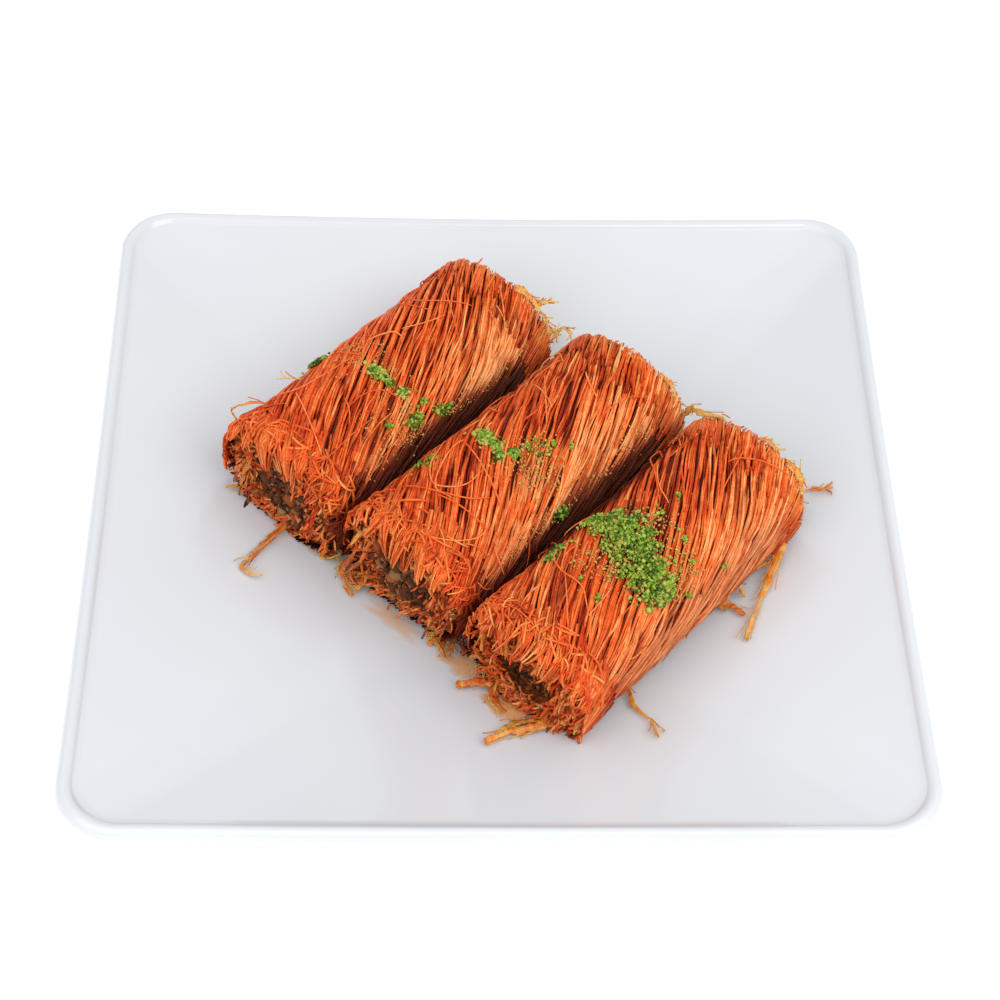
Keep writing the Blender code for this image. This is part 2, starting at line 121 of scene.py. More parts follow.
# Long stray threads, each a list of along mm and turn
STRAYS = {
    "roll_1": (((-1.5, 29), (1.4, 30), (5.7, 32), (12.8, 30), (19.9, 30), (24.9, 27), (30, 22)),
               ((55.5, -58), (52.7, -32), (54.1, -18), (57, -6), (60, 8)),
               ((17.1, 12), (22.1, 12), (26.4, 18), (28.5, 32)),
               ((36, -26), (38.5, -20), (41, -14), (41.3, -6)),
               ((10, -50), (14, -30), (22, -24), (30, -22))),
    "roll_2": (((28.9, -32), (24.4, -30), (18.4, -22), (13.1, -10), (13.8, 6)),
               ((28, -52), (24.4, -42), (18.5, -32), (13.8, -15), (15.5, -2), (19.1, 4), (24, 2)),
               ((10.1, -34), (11.6, -16), (13.1, -2), (16.1, 14), (20, 22)),
               ((2.5, 1), (2.5, 15), (4.8, 26), (7.8, 34), (11.6, 39), (15.5, 37)),
               ((58, -48), (62, -56), (64.5, -48), (62, -34)),
               ((53.8, 27), (57.6, 27), (62.8, 29), (67.4, 38))),
    "roll_3": (((65, 4), (67.3, 10), (69.7, 22), (71.2, 33), (73, 44)),
               ((48, -14), (53, -34), (58, -56), (62, -62), (59, -46)),
               ((56, -40), (52.5, -30), (49, -18), (47, -4)),
               ((26, -44), (20, -36), (17, -20), (16.5, 0), (13, 16)),
               ((42, 40), (36, 52), (30, 58))),
}
# Lift of the long stray threads in mm
STRAY_LIFT = 0.8

# Strips of pastry on the plate, as in the frame: owner, width, thickness, tone from, tone to, and path in mm
# with its height above the dish
SHREDS = (
    ("roll_1", 1.3, 0.6, 0.50, 0.75,
     ((-41.5, 2.5, 2.0), (-45.9, 0.0, 1.0), (-50.3, -5.5, 0.8), (-54.6, -11.3, 0.7), (-56.4, -14.2, 0.7),
      (-54.2, -16.2, 0.8), (-51.7, -16.3, 1.2))),
    ("roll_1", 1.2, 0.6, 0.45, 0.70,
     ((-47.0, 8.5, 2.4), (-53.5, 8.0, 2.6), (-57.5, 8.2, 1.6), (-61.0, 7.9, 0.9))),
    ("roll_2", 1.8, 0.8, 0.40, 0.65,
     ((-25.5, -15.5, 2.6), (-30.0, -11.4, 2.8), (-33.6, -11.0, 1.6), (-33.8, -15.6, 0.8),
      (-31.7, -19.9, 0.8))),
    ("roll_2", 1.6, 0.8, 0.45, 0.60,
     ((-13.5, -26.0, 2.6), (-13.0, -30.0, 1.2), (-12.4, -33.5, 0.9), (-11.3, -37.2, 0.9))),
    ("roll_3", 2.4, 0.9, 0.36, 0.68,
     ((18.5, -51.0, 2.2), (12.9, -54.4, 1.4), (7.9, -57.1, 1.0), (1.8, -58.7, 0.9), (-3.2, -61.7, 1.0))),
    ("roll_3", 2.8, 1.0, 0.24, 0.58,
     ((2.5, -43.5, 2.4), (-0.4, -43.9, 1.8), (-5.9, -44.5, 1.0), (-9.1, -44.8, 0.9))),
    ("roll_3", 1.0, 0.5, 0.45, 0.65,
     ((22.5, -42.5, 2.4), (27.5, -45.3, 1.0), (28.7, -50.7, 0.7), (32.0, -55.0, 0.7), (33.3, -60.2, 0.8))),
    ("roll_3", 2.2, 0.8, 0.62, 0.70,
     ((57.0, -11.5, 4.5), (60.5, -10.6, 5.4), (62.4, -10.9, 4.5), (62.6, -12.7, 3.2), (61.2, -16.2, 1.8),
      (59.1, -20.6, 1.0), (56.3, -27.1, 0.8), (53.9, -33.6, 0.7))),
    ("roll_3", 2.6, 0.9, 0.38, 0.50,
     ((44.5, -19.0, 2.4), (47.8, -22.7, 1.4), (51.5, -23.9, 1.0), (54.2, -27.0, 0.9))),
    ("roll_3", 1.6, 0.7, 0.55, 0.65,
     ((61.0, -4.5, 5.0), (66.0, 1.0, 3.6), (67.6, 2.6, 2.4), (69.5, 0.2, 1.2))),
    ("roll_3", 1.7, 0.6, 0.60, 0.74,
     ((53.4, -17.6, 4.2), (56.7, -15.6, 2.9), (59.5, -14.3, 2.2), (62.3, -13.3, 1.9))),
    ("roll_3", 1.4, 0.6, 0.66, 0.78,
     ((50.0, -17.0, 3.6), (52.5, -18.6, 2.6), (53.9, -19.8, 1.6), (54.5, -22.0, 1.0))),
    ("loose_shred", 0.9, 0.5, 0.45, 0.60,
     ((70.5, 5.8, 0.8), (72.5, 5.9, 0.8), (74.5, 5.3, 0.8), (76.4, 5.3, 0.9))),
)
# Soaked films at the foot of the left ends, in the same form
FOOT_FILMS = (
    ("roll_3", 3.2, 0.4, 0.35, 0.85,
     ((16.5, -52.3, 1.6), (9.0, -54.4, 1.1), (2.5, -56.6, 0.9), (-1.0, -59.3, 0.7))),
    ("roll_3", 2.8, 0.4, 0.30, 0.55,
     ((22.5, -47.5, 5.5), (21.0, -50.5, 3.0), (19.0, -53.5, 1.4), (17.6, -56.6, 0.8))),
    ("roll_3", 2.4, 0.4, 0.20, 0.45,
     ((3.0, -43.0, 3.5), (0.0, -45.0, 2.0), (-1.0, -48.5, 1.0), (1.5, -52.5, 0.8))),
    ("roll_2", 2.6, 0.4, 0.15, 0.40,
     ((-6.0, -26.5, 3.5), (-8.5, -29.0, 2.2), (-11.0, -31.5, 1.4), (-12.5, -33.5, 0.9))),
    ("roll_2", 1.6, 0.4, 0.25, 0.45, ((-8.0, -30.5, 1.8), (-9.6, -33.0, 1.4), (-10.4, -36.4, 0.8))),
    ("roll_1", 1.6, 0.4, 0.30, 0.60, ((-41.0, 0.5, 2.6), (-39.0, -3.6, 1.6), (-37.5, -7.6, 1.0))),
)
# Thin strips and threads that stand free in the air, in the same form, with heights above the floor
WISPS = (
    ("roll_1", 0.8, 0.4, 0.6, 0.8,
     ((-50.5, 17.6, 27.5), (-53.3, 17.4, 29.0), (-56.1, 16.3, 29.5), (-58.9, 15.6, 29.0), (-58.9, 15.5, 27.0),
      (-57.1, 14.9, 24.0), (-53.0, 14.0, 21.0))),
    ("roll_1", 0.35, 0.3, 0.8, 0.9, ((-41.5, 22.5, 31.0), (-46.3, 22.8, 31.0), (-49.5, 22.6, 31.0))),
    ("roll_1", 1.0, 0.4, 0.7, 0.9,
     ((8.0, 45.2, 31.6), (10.6, 46.4, 31.8), (13.0, 47.2, 31.6), (14.8, 47.8, 31.0))),
    ("roll_1", 0.7, 0.4, 0.8, 0.95,
     ((12.0, 50.5, 12.0), (15.2, 54.6, 13.0), (16.7, 55.9, 14.0), (18.5, 54.3, 14.0), (19.0, 52.2, 12.0))),
    ("roll_1", 1.0, 0.4, 0.6, 0.8,
     ((12.0, 49.0, 15.0), (13.6, 52.6, 15.5), (15.0, 54.0, 15.0), (15.4, 51.5, 13.5))),
    ("roll_2", 0.6, 0.4, 0.7, 0.9,
     ((39.5, 25.7, 21.0), (42.1, 26.7, 20.0), (44.2, 27.3, 18.0), (46.1, 27.0, 17.0))),
    ("roll_2", 0.7, 0.4, 0.9, 1.0,
     ((-10.8, -27.6, 9.5), (-8.4, -29.2, 9.8), (-5.8, -31.0, 9.6), (-3.6, -32.6, 9.0))),
    ("roll_3", 1.5, 0.4, 0.7, 1.0,
     ((42.4, 21.3, 20.0), (44.5, 21.6, 23.0), (45.6, 18.8, 25.5), (47.6, 14.7, 29.0), (50.0, 11.7, 31.6),
      (50.4, 9.0, 32.8))),
    ("roll_3", 1.6, 0.5, 0.7, 0.9,
     ((64.2, 7.8, 22.0), (66.2, 6.8, 20.0), (67.4, 5.6, 18.0), (67.6, 3.7, 16.0), (66.1, 2.3, 13.0))),
    ("roll_3", 0.4, 0.3, 0.8, 0.9,
     ((66.2, 0.8, 15.0), (68.1, 2.8, 17.5), (68.3, 5.0, 19.5), (68.4, 7.8, 22.0))),
)
# Tangles of soaked threads, and near black ones that are painted shade in the gaps between the left ends:
# roll, middle in mm above the dish, half sizes in mm, tone and count
WADS = (
    ("roll_1", (-37.0, -8.4, 1.8), (3.0, 1.6, 1.5), 0.64, 22),
    ("roll_1", (-60.0, 12.6, 5.5), (1.3, 2.2, 3.6), 0.24, 20),
    ("roll_1", (-42.5, 1.0, 2.4), (2.6, 1.6, 1.6), 0.26, 16),
    ("roll_2", (-30.0, -14.8, 2.4), (3.4, 2.4, 2.2), 0.46, 34),
    ("roll_2", (-13.4, -31.3, 2.0), (2.5, 1.9, 1.7), 0.70, 22),
    ("roll_2", (-7.6, -29.0, 2.6), (3.6, 2.3, 2.4), 0.16, 34),
    # Near black tangles as painted shade in the gaps between the left ends
    ("roll_2", (-33.0, -6.2, 2.0), (2.2, 2.2, 2.0), 0.02, 20),
    ("roll_3", (-6.6, -34.6, 2.0), (2.2, 2.2, 2.0), 0.04, 20),
    ("roll_3", (-1.7, -40.6, 3.0), (1.9, 1.9, 1.9), 0.56, 18),
    ("roll_3", (3.2, -46.8, 2.4), (2.2, 2.4, 2.1), 0.34, 24),
)
# Films that stand along the edges of the right ends: width mm, then along mm and turn
EDGE_FILMS = {
    "roll_1": ((1.7, ((71.4, 18), (71.9, 27), (72.0, 37), (71.9, 48))),
               (1.0, ((71.9, 46), (72.4, 54), (71.4, 64)))),
    "roll_2": ((1.0, ((73.6, 30), (74.3, 40), (73.6, 52))),),
    "roll_3": ((1.8, ((74.9, 36), (75.4, 46), (75.2, 57), (74.2, 66))),
               (0.8, ((75.0, 8), (75.6, 18), (75.0, 28)))),
}
# How far strips and their frays stay above the dish
STRIP_CLEAR = 0.12 * MM
# Thin syrup on the plate in front of the left ends, as painted reflections of the ends in the glaze: middle,
# half sizes in mm, heading and strength
SYRUP_REFLECTIONS = (
    (2.0, -51.2, 6.6, 3.6, -42, 0.80),
    (-6.6, -38.4, 6.4, 4.0, -48, 0.50),
    (-22.5, -25.5, 8.5, 3.0, -42, 0.24),
    (-40.5, -4.5, 7.0, 2.8, -42, 0.26),
)
# Height of the syrup films for the painted reflections in mm above the dish: at its edge, what its middle
# adds, and its underside
SYRUP_EDGE = 0.06
SYRUP_MIDDLE = 0.16
SYRUP_UNDERSIDE = 0.03

# Heaps of crumbs: along mm, turn, spread along and in turn, count, tone from dark green to tan
CRUMB_HEAPS = {
    "roll_1": ((25.5, -51, 3.4, 5, 150, 0.20), (29.3, 2, 1.9, 8, 170, 0.5), (29.6, 14, 1.6, 10, 90, 0.45),
               (29.8, 26, 1.5, 6, 90, 0.45), (28.2, 52, 2.4, 6, 110, 0.35), (36, 59, 2.4, 5, 100, 0.35),
               (32, -20, 5.0, 18, 150, 0.92), (26, 48, 5.5, 14, 140, 0.88), (18, 28, 3.0, 8, 40, 0.9),
               (31, 18, 4.0, 16, 70, 0.9), (22, 58, 9, 9, 150, 0.96), (48, 64, 12, 7, 150, 0.97)),
    "roll_2": ((19.5, -44, 4.5, 9, 60, 0.45), (31.9, -22, 2.0, 10, 170, 0.55), (31.6, -10, 1.6, 9, 120, 0.5),
               (29.2, 0, 1.7, 6, 130, 0.28), (32.4, 7, 1.4, 5, 110, 0.40), (34.5, 26, 5.0, 22, 330, 0.86),
               (32.7, 68, 2.6, 6, 130, 0.25), (37, 12, 4.5, 16, 60, 0.65), (29, 14, 4.0, 16, 100, 0.9),
               (24, 66, 11, 7, 150, 0.96), (52, 58, 12, 9, 150, 0.97)),
    "roll_3": ((33.2, -38, 3.0, 6, 200, 0.50), (34.3, -26, 5.0, 8, 390, 0.50), (34.3, -11, 6.6, 9, 540, 0.46),
               (32.6, 3, 6.8, 9, 560, 0.44), (30.6, 16, 6.2, 9, 410, 0.42), (29.2, 28, 5.8, 8, 480, 0.42),
               (28.6, 39, 5.6, 8, 360, 0.46), (29.6, 49, 3.8, 5, 160, 0.52), (35.0, 46, 6.0, 14, 300, 0.84),
               (23.5, -4, 4.0, 20, 240, 0.88), (22, -42, 2.6, 6, 150, 0.25), (40, 14, 4.5, 22, 200, 0.86)),
}
# A heap with a lighter tone than this is dust
DUST_TONE = 0.8
CRUMBS_TO_A_LONE_ONE = 9
# Single larger crumbs: along mm and turn
LONE_CRUMBS = {
    "roll_1": ((33, 44), (22, 42)),
    "roll_2": ((36.4, 9), (41.0, 20), (44, 30)),
    "roll_3": ((49.9, -3), (43.5, -2), (41.9, 26), (46.7, 66), (18.2, -6), (16.6, 15), (34.8, 62),
               (39.6, 42)),
}
# How much painted shade darkens the filling's right part at the left end, with less than 0 for its left part
PAINTED_HOLLOW_SHADE = {"roll_1": 0.5, "roll_2": 0.8, "roll_3": -0.4}
# Bits of nut on each face of the filling: count, size from and to in mm, flatness and reach from the middle
NUT_BITS = ((420, 0.28, 0.80, 1.0, 0.94), (26, 0.9, 1.7, 1.0, 1.15), (60, 0.5, 1.2, 0.35, 1.15))
NUT_TONES = (0.05, 0.22, 0.40, 0.52, 0.70, 0.84)
NUT_SHARES = (0.2, 0.3, 0.2, 0.14, 0.1, 0.06)
SPILLED_BITS = 120


# Seeds of the random draws. Those of a roll have its number added
SEEDS = {"lumps": 100, "core": 300, "lay": 400, "locks": 500, "grooves": 600, "partings": 650, "threads": 700,
         "cut_ends": 800, "crumbs": 900, "filling": 1000, "strays": 1100, "fringes": 1200, "strips": 1300,
         "syrup": 1400}


class Field:
    """Smooth random values from -1 to 1 over a plane."""

    def __init__(self, seed, size=64):
        self.grid = np.random.default_rng(seed).uniform(-1, 1, (size, size))
        self.size = size

    def __call__(self, u, v):
        i, j = np.floor(u).astype(int), np.floor(v).astype(int)
        s, t = u - i, v - j
        s, t = s * s * (3 - 2 * s), t * t * (3 - 2 * t)
        i0, j0, i1, j1 = i % self.size, j % self.size, (i + 1) % self.size, (j + 1) % self.size
        near = self.grid[i0, j0] * (1 - s) + self.grid[i1, j0] * s
        far = self.grid[i0, j1] * (1 - s) + self.grid[i1, j1] * s
        return near * (1 - t) + far * t


def smooth_path(points, steps, hold=False):
    """A smooth curve through a few points. It runs straight on at its ends, unless they are held."""
    knots = np.asarray(points, dtype=float)
    first, last = (knots[0], knots[-1]) if hold else (2 * knots[0] - knots[1], 2 * knots[-1] - knots[-2])
    knots = np.vstack((first, knots, last))
    place = np.linspace(0, len(knots) - 3, steps)
    k = np.minimum(place.astype(int), len(knots) - 4)
    t = (place - k)[:, None]
    a, b, c, d = knots[k], knots[k + 1], knots[k + 2], knots[k + 3]
    curve = 2 * b + (c - a) * t + (2 * a - 5 * b + 4 * c - d) * t ** 2
    return 0.5 * (curve + (3 * b - a - 3 * c + d) * t ** 3)


def unit(vectors):
    """The same directions with length 1."""
    return vectors / (np.linalg.norm(vectors, axis=-1, keepdims=True) + 1e-12)


def step_between(x, low, high):
    """0 below low, 1 above high and smooth between."""
    t = np.clip((x - low) / (high - low), 0, 1)
    return t * t * (3 - 2 * t)


def shares(rng, middle, deviation, count):
    """Random shares from 0 to 1, one for each thread."""
    return np.clip(rng.normal(middle, deviation, count), 0, 1)


def ripple(rng, along, shortest, longest):
    """A wave along each thread, with lengths in mm."""
    count = len(along)
    return np.sin(along / (rng.uniform(shortest, longest, (count, 1)) * MM)
                  + rng.uniform(0, TURN_OF_PHASE, (count, 1)))


# Height of the plate

def corner_of(half):
    """Corner radius of the dish's ring at a distance from its middle."""
    halves = np.array((0, 9, 18, 28, 38, 48, 58, 68, 77, 86.4)) * MM
    corners = np.array((0, 8, 15, 19, 17, 14, 12, 11, 10.5, 10.5)) * MM
    return np.interp(half, halves, corners)


def dish_curve(half):
    """Height of the dish's ring at a distance from its middle, at the ring's corners."""
    return PLATE_FLOOR + (DISH_EDGE - PLATE_FLOOR) * (half / DISH_HALF) ** DISH_POWER


def side_dip(half, near, far):
    """How far a ring lies below its corners, at a point with these distances from the middle."""
    return SIDE_DIP * (half / PLATE_HALF) ** 2 * (1 - (near / np.maximum(far, 1e-9)) ** 2)


def dish_height(x, y):
    """Height of the dish under a point."""
    far = np.maximum(np.abs(x), np.abs(y))
    near = np.minimum(np.abs(x), np.abs(y))
    half = far
    for _ in range(4):
        corner = corner_of(half)
        start = (far + near - np.sqrt(np.maximum(2 * corner ** 2 - (far - near) ** 2, 0))) / 2
        half = np.where(near > half - corner, np.maximum(start + corner, far), far)
    return dish_curve(half) - side_dip(half, near, far)


def keep_above_dish(points, rest=CLEAR):
    """Lifts points that would lie in the plate or touch it."""
    points[..., 2] = np.maximum(points[..., 2], dish_height(points[..., 0], points[..., 1]) + rest)


class Roll:
    """A roll's frame. Its surface is laid out flat: along the axis, and round it from the top."""

    def __init__(self, number, name, left, right, width, height, filling_out):
        self.name = name
        self.number = number
        self.filling_out = filling_out * MM
        self.left = np.array((*left, 0.0)) * MM
        axis = np.array((*right, 0.0)) * MM - self.left
        self.length = float(np.linalg.norm(axis))
        self.axis = axis / self.length
        self.side = np.array((self.axis[1], -self.axis[0], 0.0))
        self.middle = ROLL_BASE + height * MM / 2
        self.turn = np.linspace(-math.pi, math.pi, 1441)
        east, north = np.sin(self.turn), np.cos(self.turn)
        power = np.where(north > 0, SECTION_POWER, BASE_POWER)
        reach = (np.abs(east) ** power + np.abs(north) ** power) ** (-1 / power)
        self.across = width * MM / 2 * reach * east
        self.up = height * MM / 2 * reach * north
        steps = np.hypot(np.diff(self.across), np.diff(self.up))
        self.arc = np.concatenate(([0], np.cumsum(steps)))
        self.arc -= self.arc[len(self.turn) // 2]
        self.girth = self.arc[-1] - self.arc[0]
        run, rise = np.gradient(self.across), np.gradient(self.up)
        size = np.hypot(run, rise)
        self.normal_across, self.normal_up = -rise / size, run / size
        self.lumps = Field(self.seed("lumps"), 8)

    def seed(self, use):
        return SEEDS[use] + self.number

    def draws(self, use):
        return np.random.default_rng(self.seed(use))

    def round(self, turn_degrees):
        """Distance round the roll from its top to an angle."""
        return np.interp(np.radians(turn_degrees), self.turn, self.arc)

    def wrapped(self, around):
        return (around - self.arc[0]) % self.girth + self.arc[0]

    def turn_at(self, around):
        """Angle from the top, in degrees."""
        return np.degrees(np.interp(self.wrapped(around), self.arc, self.turn))

    def lump(self, along, around):
        """Height of the roll's own unevenness."""
        return UNEVENNESS * self.lumps(along / (13 * MM), 8 * (around - self.arc[0]) / self.girth)

    def place(self, along, around, out, rest=CLEAR):
        """Points and outward normals at places on the surface, lifted clear of the dish."""
        section = (self.across, self.up, self.normal_across, self.normal_up)
        around = self.wrapped(around)
        across, up, normal_across, normal_up = (np.interp(around, self.arc, values) for values in section)
        sideways = (across + normal_across * out)[..., None] * self.side
        points = self.left + np.asarray(along)[..., None] * self.axis + sideways
        points[..., 2] = self.middle + up + normal_up * out
        keep_above_dish(points, rest)
        points[..., 2] = np.minimum(points[..., 2], ROLL_TOP)
        normals = normal_across[..., None] * self.side
        normals[..., 2] = normal_up
        return points, normals

    def hole(self, along, turn, share=1.0):
        """Points on the oval of the hole, or part of the way from its middle."""
        sideways = (HOLE_HALF_WIDTH * share * np.sin(turn))[..., None] * self.side
        points = self.left + np.asarray(along)[..., None] * self.axis + sideways
        points[..., 2] = self.middle - HOLE_DROP + HOLE_HALF_HEIGHT * share * np.cos(turn)
        return points


# Mesh building

def make_mesh(name, verts, faces, material, values, smooth=True):
    """An object from arrays of vertices and of equal-sided faces, with values for each vertex."""
    verts = np.asarray(verts, dtype=np.float32).reshape(-1, 3)
    sides = np.concatenate([np.full(len(block), block.shape[1]) for block in faces])
    starts = np.concatenate(([0], np.cumsum(sides)[:-1]))
    corners = np.concatenate([block.ravel() for block in faces])
    mesh = bpy.data.meshes.new(name)
    mesh.vertices.add(len(verts))
    mesh.vertices.foreach_set("co", verts.ravel())
    mesh.loops.add(len(corners))
    mesh.loops.foreach_set("vertex_index", corners.astype(np.int32))
    mesh.polygons.add(len(sides))
    mesh.polygons.foreach_set("loop_start", starts.astype(np.int32))
    mesh.polygons.foreach_set("loop_total", sides.astype(np.int32))
    mesh.update(calc_edges=True)
    mesh.validate()
    for key, value in values.items():
        layer = mesh.attributes.new(key, "FLOAT", "POINT")
        layer.data.foreach_set("value", np.ascontiguousarray(value, dtype=np.float32).ravel())
    if smooth:
        mesh.shade_smooth()
    mesh.materials.append(material)
    item = bpy.data.objects.new(name, mesh)
    bpy.context.scene.collection.objects.link(item)
    return item


def join(name, parts, material, smooth=True):
    """One mesh of several lots of vertices, faces and values."""
    verts, faces, values, first = [], [], {}, 0
    for lot, lot_faces, lot_values in parts:
        verts.append(lot)
        faces.extend(block + first for block in lot_faces)
        for key, value in lot_values.items():
            values.setdefault(key, []).append(value)
        first += len(lot)
    values = {key: np.concatenate(value) for key, value in values.items()}
    return make_mesh(name, np.concatenate(verts), faces, material, values, smooth)


def ring_faces(rows, count):
    """Quads between rings of vertices."""
    row = np.arange(rows - 1)[:, None] * count
    k = np.arange(count)[None]
    ahead = (k + 1) % count
    return np.stack((row + k, row + ahead, row + count + ahead, row + count + k), -1).reshape(-1, 4)


def fan(middle, ring):
    """Triangles from one vertex to a ring of vertices."""
    return np.stack((np.full(len(ring), middle), ring, np.roll(ring, -1)), -1)


def path_sides(points, normals):
    """Directions across paths and out of them at each of their points."""
    ahead = unit(np.gradient(points, axis=1))
    across = unit(np.cross(ahead, normals))
    return across, np.cross(across, ahead)


def tube_rings(points, normals, radius, sides=4):
    """Rings round many paths of equal length."""
    across, lift = (way[:, :, None] for way in path_sides(points, normals))
    angle = (2 * math.pi * (np.arange(sides) + 0.5) / sides)[:, None]
    radius = np.broadcast_to(radius, points.shape[:2])[..., None, None]
    return points[:, :, None] + radius * (np.cos(angle) * across + np.sin(angle) * lift)


def film_rings(rng, points, normals, width, thick, columns=4, ragged=0.4, crumple=0.12):
    """Rings round thin torn films along paths: uneven at both edges and crumpled."""
    count, steps = points.shape[:2]
    across, lift = (way[:, :, None] for way in path_sides(points, normals))
    side = np.linspace(1, -1, columns)
    rag = 1 + ragged * rng.uniform(-1, 1, (count, steps, 2))
    width = np.broadcast_to(width, (count, steps))[..., None]
    offset = np.where(side > 0, rag[..., :1], rag[..., 1:]) * side * width / 2
    height = crumple * width * rng.uniform(-1, 1, (count, steps, columns))
    middle = points[:, :, None] + across * offset[..., None] + lift * height[..., None]
    return np.concatenate((middle + lift * thick / 2, middle[:, :, ::-1] - lift * thick / 2), 2)


def swept(rings, **values):
    """A lot of closed shapes from rings along paths. Values are given for the paths or for their steps."""
    count, steps, sides = rings.shape[:3]
    first = np.arange(count)[:, None] * steps * sides
    walls = (ring_faces(steps, sides)[None] + first[:, None]).reshape(-1, 4)
    cap = np.arange(sides)[None]
    caps = np.concatenate((cap + first, cap[:, ::-1] + (steps - 1) * sides + first))
    spread = {}
    for key, value in values.items():
        by_step = value if value.ndim == 2 else value[:, None]
        spread[key] = np.repeat(np.broadcast_to(by_step, (count, steps)), sides)
    return rings.reshape(-1, 3), [walls, caps], spread


def show(item, slot, *nodes):
    """Ties a piece to the frame: it rides on the body, and may stand for CAD nodes."""
    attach(item, "root")
    if nodes:
        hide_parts(*nodes)
    return item


# Materials

class Shader:
    """A Principled material and a short way to add nodes to it."""

    def __init__(self, name, roughness, **sockets):
        self.material = bpy.data.materials.new(name)
        self.material.use_nodes = True
        self.tree = self.material.node_tree
        self.shader = self.tree.nodes["Principled BSDF"]
        self.shader.inputs["Roughness"].default_value = roughness
        for key, value in sockets.items():
            self.shader.inputs[key.replace("_", " ")].default_value = value

    def node(self, kind, inputs, **settings):
        node = self.tree.nodes.new(kind)
        for key, value in settings.items():
            setattr(node, key, value)
        for key, value in inputs.items():
            if isinstance(value, bpy.types.NodeSocket):
                self.tree.links.new(value, node.inputs[key])
            elif isinstance(value, tuple):
                node.inputs[key].default_value = (*value, 1.0)
            else:
                node.inputs[key].default_value = value
        return node

    def link(self, socket, target):
        self.tree.links.new(socket, self.shader.inputs[target])

    def noise(self, scale, detail=3.0, roughness=0.55):
        place = self.node("ShaderNodeTexCoord", {}).outputs["Object"]
        inputs = {"Vector": place, "Scale": scale, "Detail": detail, "Roughness": roughness}
        return self.node("ShaderNodeTexNoise", inputs).outputs["Fac"]

    def value(self, name):
        return self.node("ShaderNodeAttribute", {}, attribute_name=name).outputs["Fac"]

    def math(self, operation, a, b, clamp=False):
        node = self.node("ShaderNodeMath", {0: a, 1: b}, operation=operation, use_clamp=clamp)
        return node.outputs["Value"]

    def ramp(self, fac, stops):
        node = self.node("ShaderNodeValToRGB", {"Fac": fac})
        elements = node.color_ramp.elements
        while len(elements) < len(stops):
            elements.new(0.5)
        for element, (place, colour) in zip(elements, stops):
            element.position = place
            element.color = (*colour, 1.0)
        return node.outputs["Color"]

    def mix(self, fac, a, b, blend="MIX"):
        node = self.node("ShaderNodeMix", {0: fac, 6: a, 7: b}, data_type="RGBA", blend_type=blend)
        return node.outputs[2]

    def grained(self, name, *grains):
        """A value of the mesh with noise on it. Each grain is a scale, a detail and a strength."""
        value = self.value(name)
        for grain in grains:
            scale, detail, strength = grain
            noise = self.math("SUBTRACT", self.noise(scale, detail), 0.5)
            value = self.math("ADD", value, self.math("MULTIPLY", noise, strength), clamp=grain is grains[-1])
        return value

    def rough(self, scale, detail, low, high):
        """Patches of lower and higher roughness."""
        self.link(self.ramp(self.noise(scale, detail), ((0.3, (low,) * 3), (0.7, (high,) * 3))), "Roughness")

    def bump(self, height, strength, distance):
        node = self.node("ShaderNodeBump", {"Height": height, "Strength": strength, "Distance": distance})
        self.link(node.outputs["Normal"], "Normal")


def thread_material():
    """Fried threads: orange-red and peach, tan and amber where soaked, and dark red under painted shade where
    they lie deep; painted light makes the right shoulders paler.
    """
    s = Shader("fried_threads", 0.42, Specular_IOR_Level=0.16)
    tone = s.grained("tone", (160, 3, 0.50), (650, 2, 0.60), (2400, 2, 0.45))
    red = s.ramp(tone, ((0.0, (0.30, 0.016, 0.003)), (0.28, (0.66, 0.055, 0.007)),
                        (0.5, (0.86, 0.115, 0.016)), (0.75, (0.95, 0.215, 0.042)), (1.0, (0.98, 0.42, 0.14))))
    tan = s.ramp(tone, ((0.0, (0.24, 0.050, 0.016)), (0.5, (0.76, 0.255, 0.085)), (1.0, (0.92, 0.46, 0.21))))
    amber = s.ramp(tone, ((0.0, (0.42, 0.13, 0.016)), (0.5, (0.78, 0.33, 0.06)), (1.0, (0.92, 0.56, 0.18))))
    colour = s.mix(s.value("amber"), s.mix(s.value("tan"), red, tan), amber)
    # Painted shade: a low depth value darkens deep threads and partings
    shade = s.ramp(s.value("depth"), ((0.0, (0.055, 0.020, 0.010)), (0.26, (0.38, 0.23, 0.18)),
                                      (0.55, (0.80, 0.70, 0.66)), (0.8, (1, 1, 1))))
    s.link(s.mix(1.0, colour, shade, "MULTIPLY"), "Base Color")
    s.rough(700, 2, 0.28, 0.56)
    s.bump(s.noise(1500, 4, 0.7), 0.6, 0.0003)
    return s.material


def strip_material():
    """Soaked films and strips of pastry that let some light through."""
    s = Shader("soaked_strips", 0.25, Subsurface_Weight=0.5, Subsurface_Scale=0.002,
               Subsurface_Radius=(1.0, 0.45, 0.12))
    colour = s.ramp(s.grained("tone", (600, 3, 0.55)),
                    ((0.0, (0.10, 0.018, 0.004)), (0.2, (0.42, 0.055, 0.007)), (0.4, (0.78, 0.16, 0.016)),
                     (0.62, (0.87, 0.28, 0.038)), (0.82, (0.88, 0.41, 0.090)), (1.0, (0.83, 0.53, 0.19))))
    s.link(colour, "Base Color")
    s.rough(900, 2, 0.12, 0.42)
    s.bump(s.noise(1300, 4), 0.8, 0.0004)
    return s.material


def syrup_reflection_material():
    """Thin brown syrup for the painted reflections, clear towards its edges."""
    s = Shader("brown_syrup_reflection", 0.12, Base_Color=(0.97, 0.52, 0.20, 1))
    patch = s.math("ADD", s.math("MULTIPLY", s.noise(400, 2), 0.5), 0.75)
    s.link(s.math("MULTIPLY", s.value("thick"), patch, clamp=True), "Alpha")
    s.bump(s.noise(600, 2), 0.1, 0.0003)
    return s.material


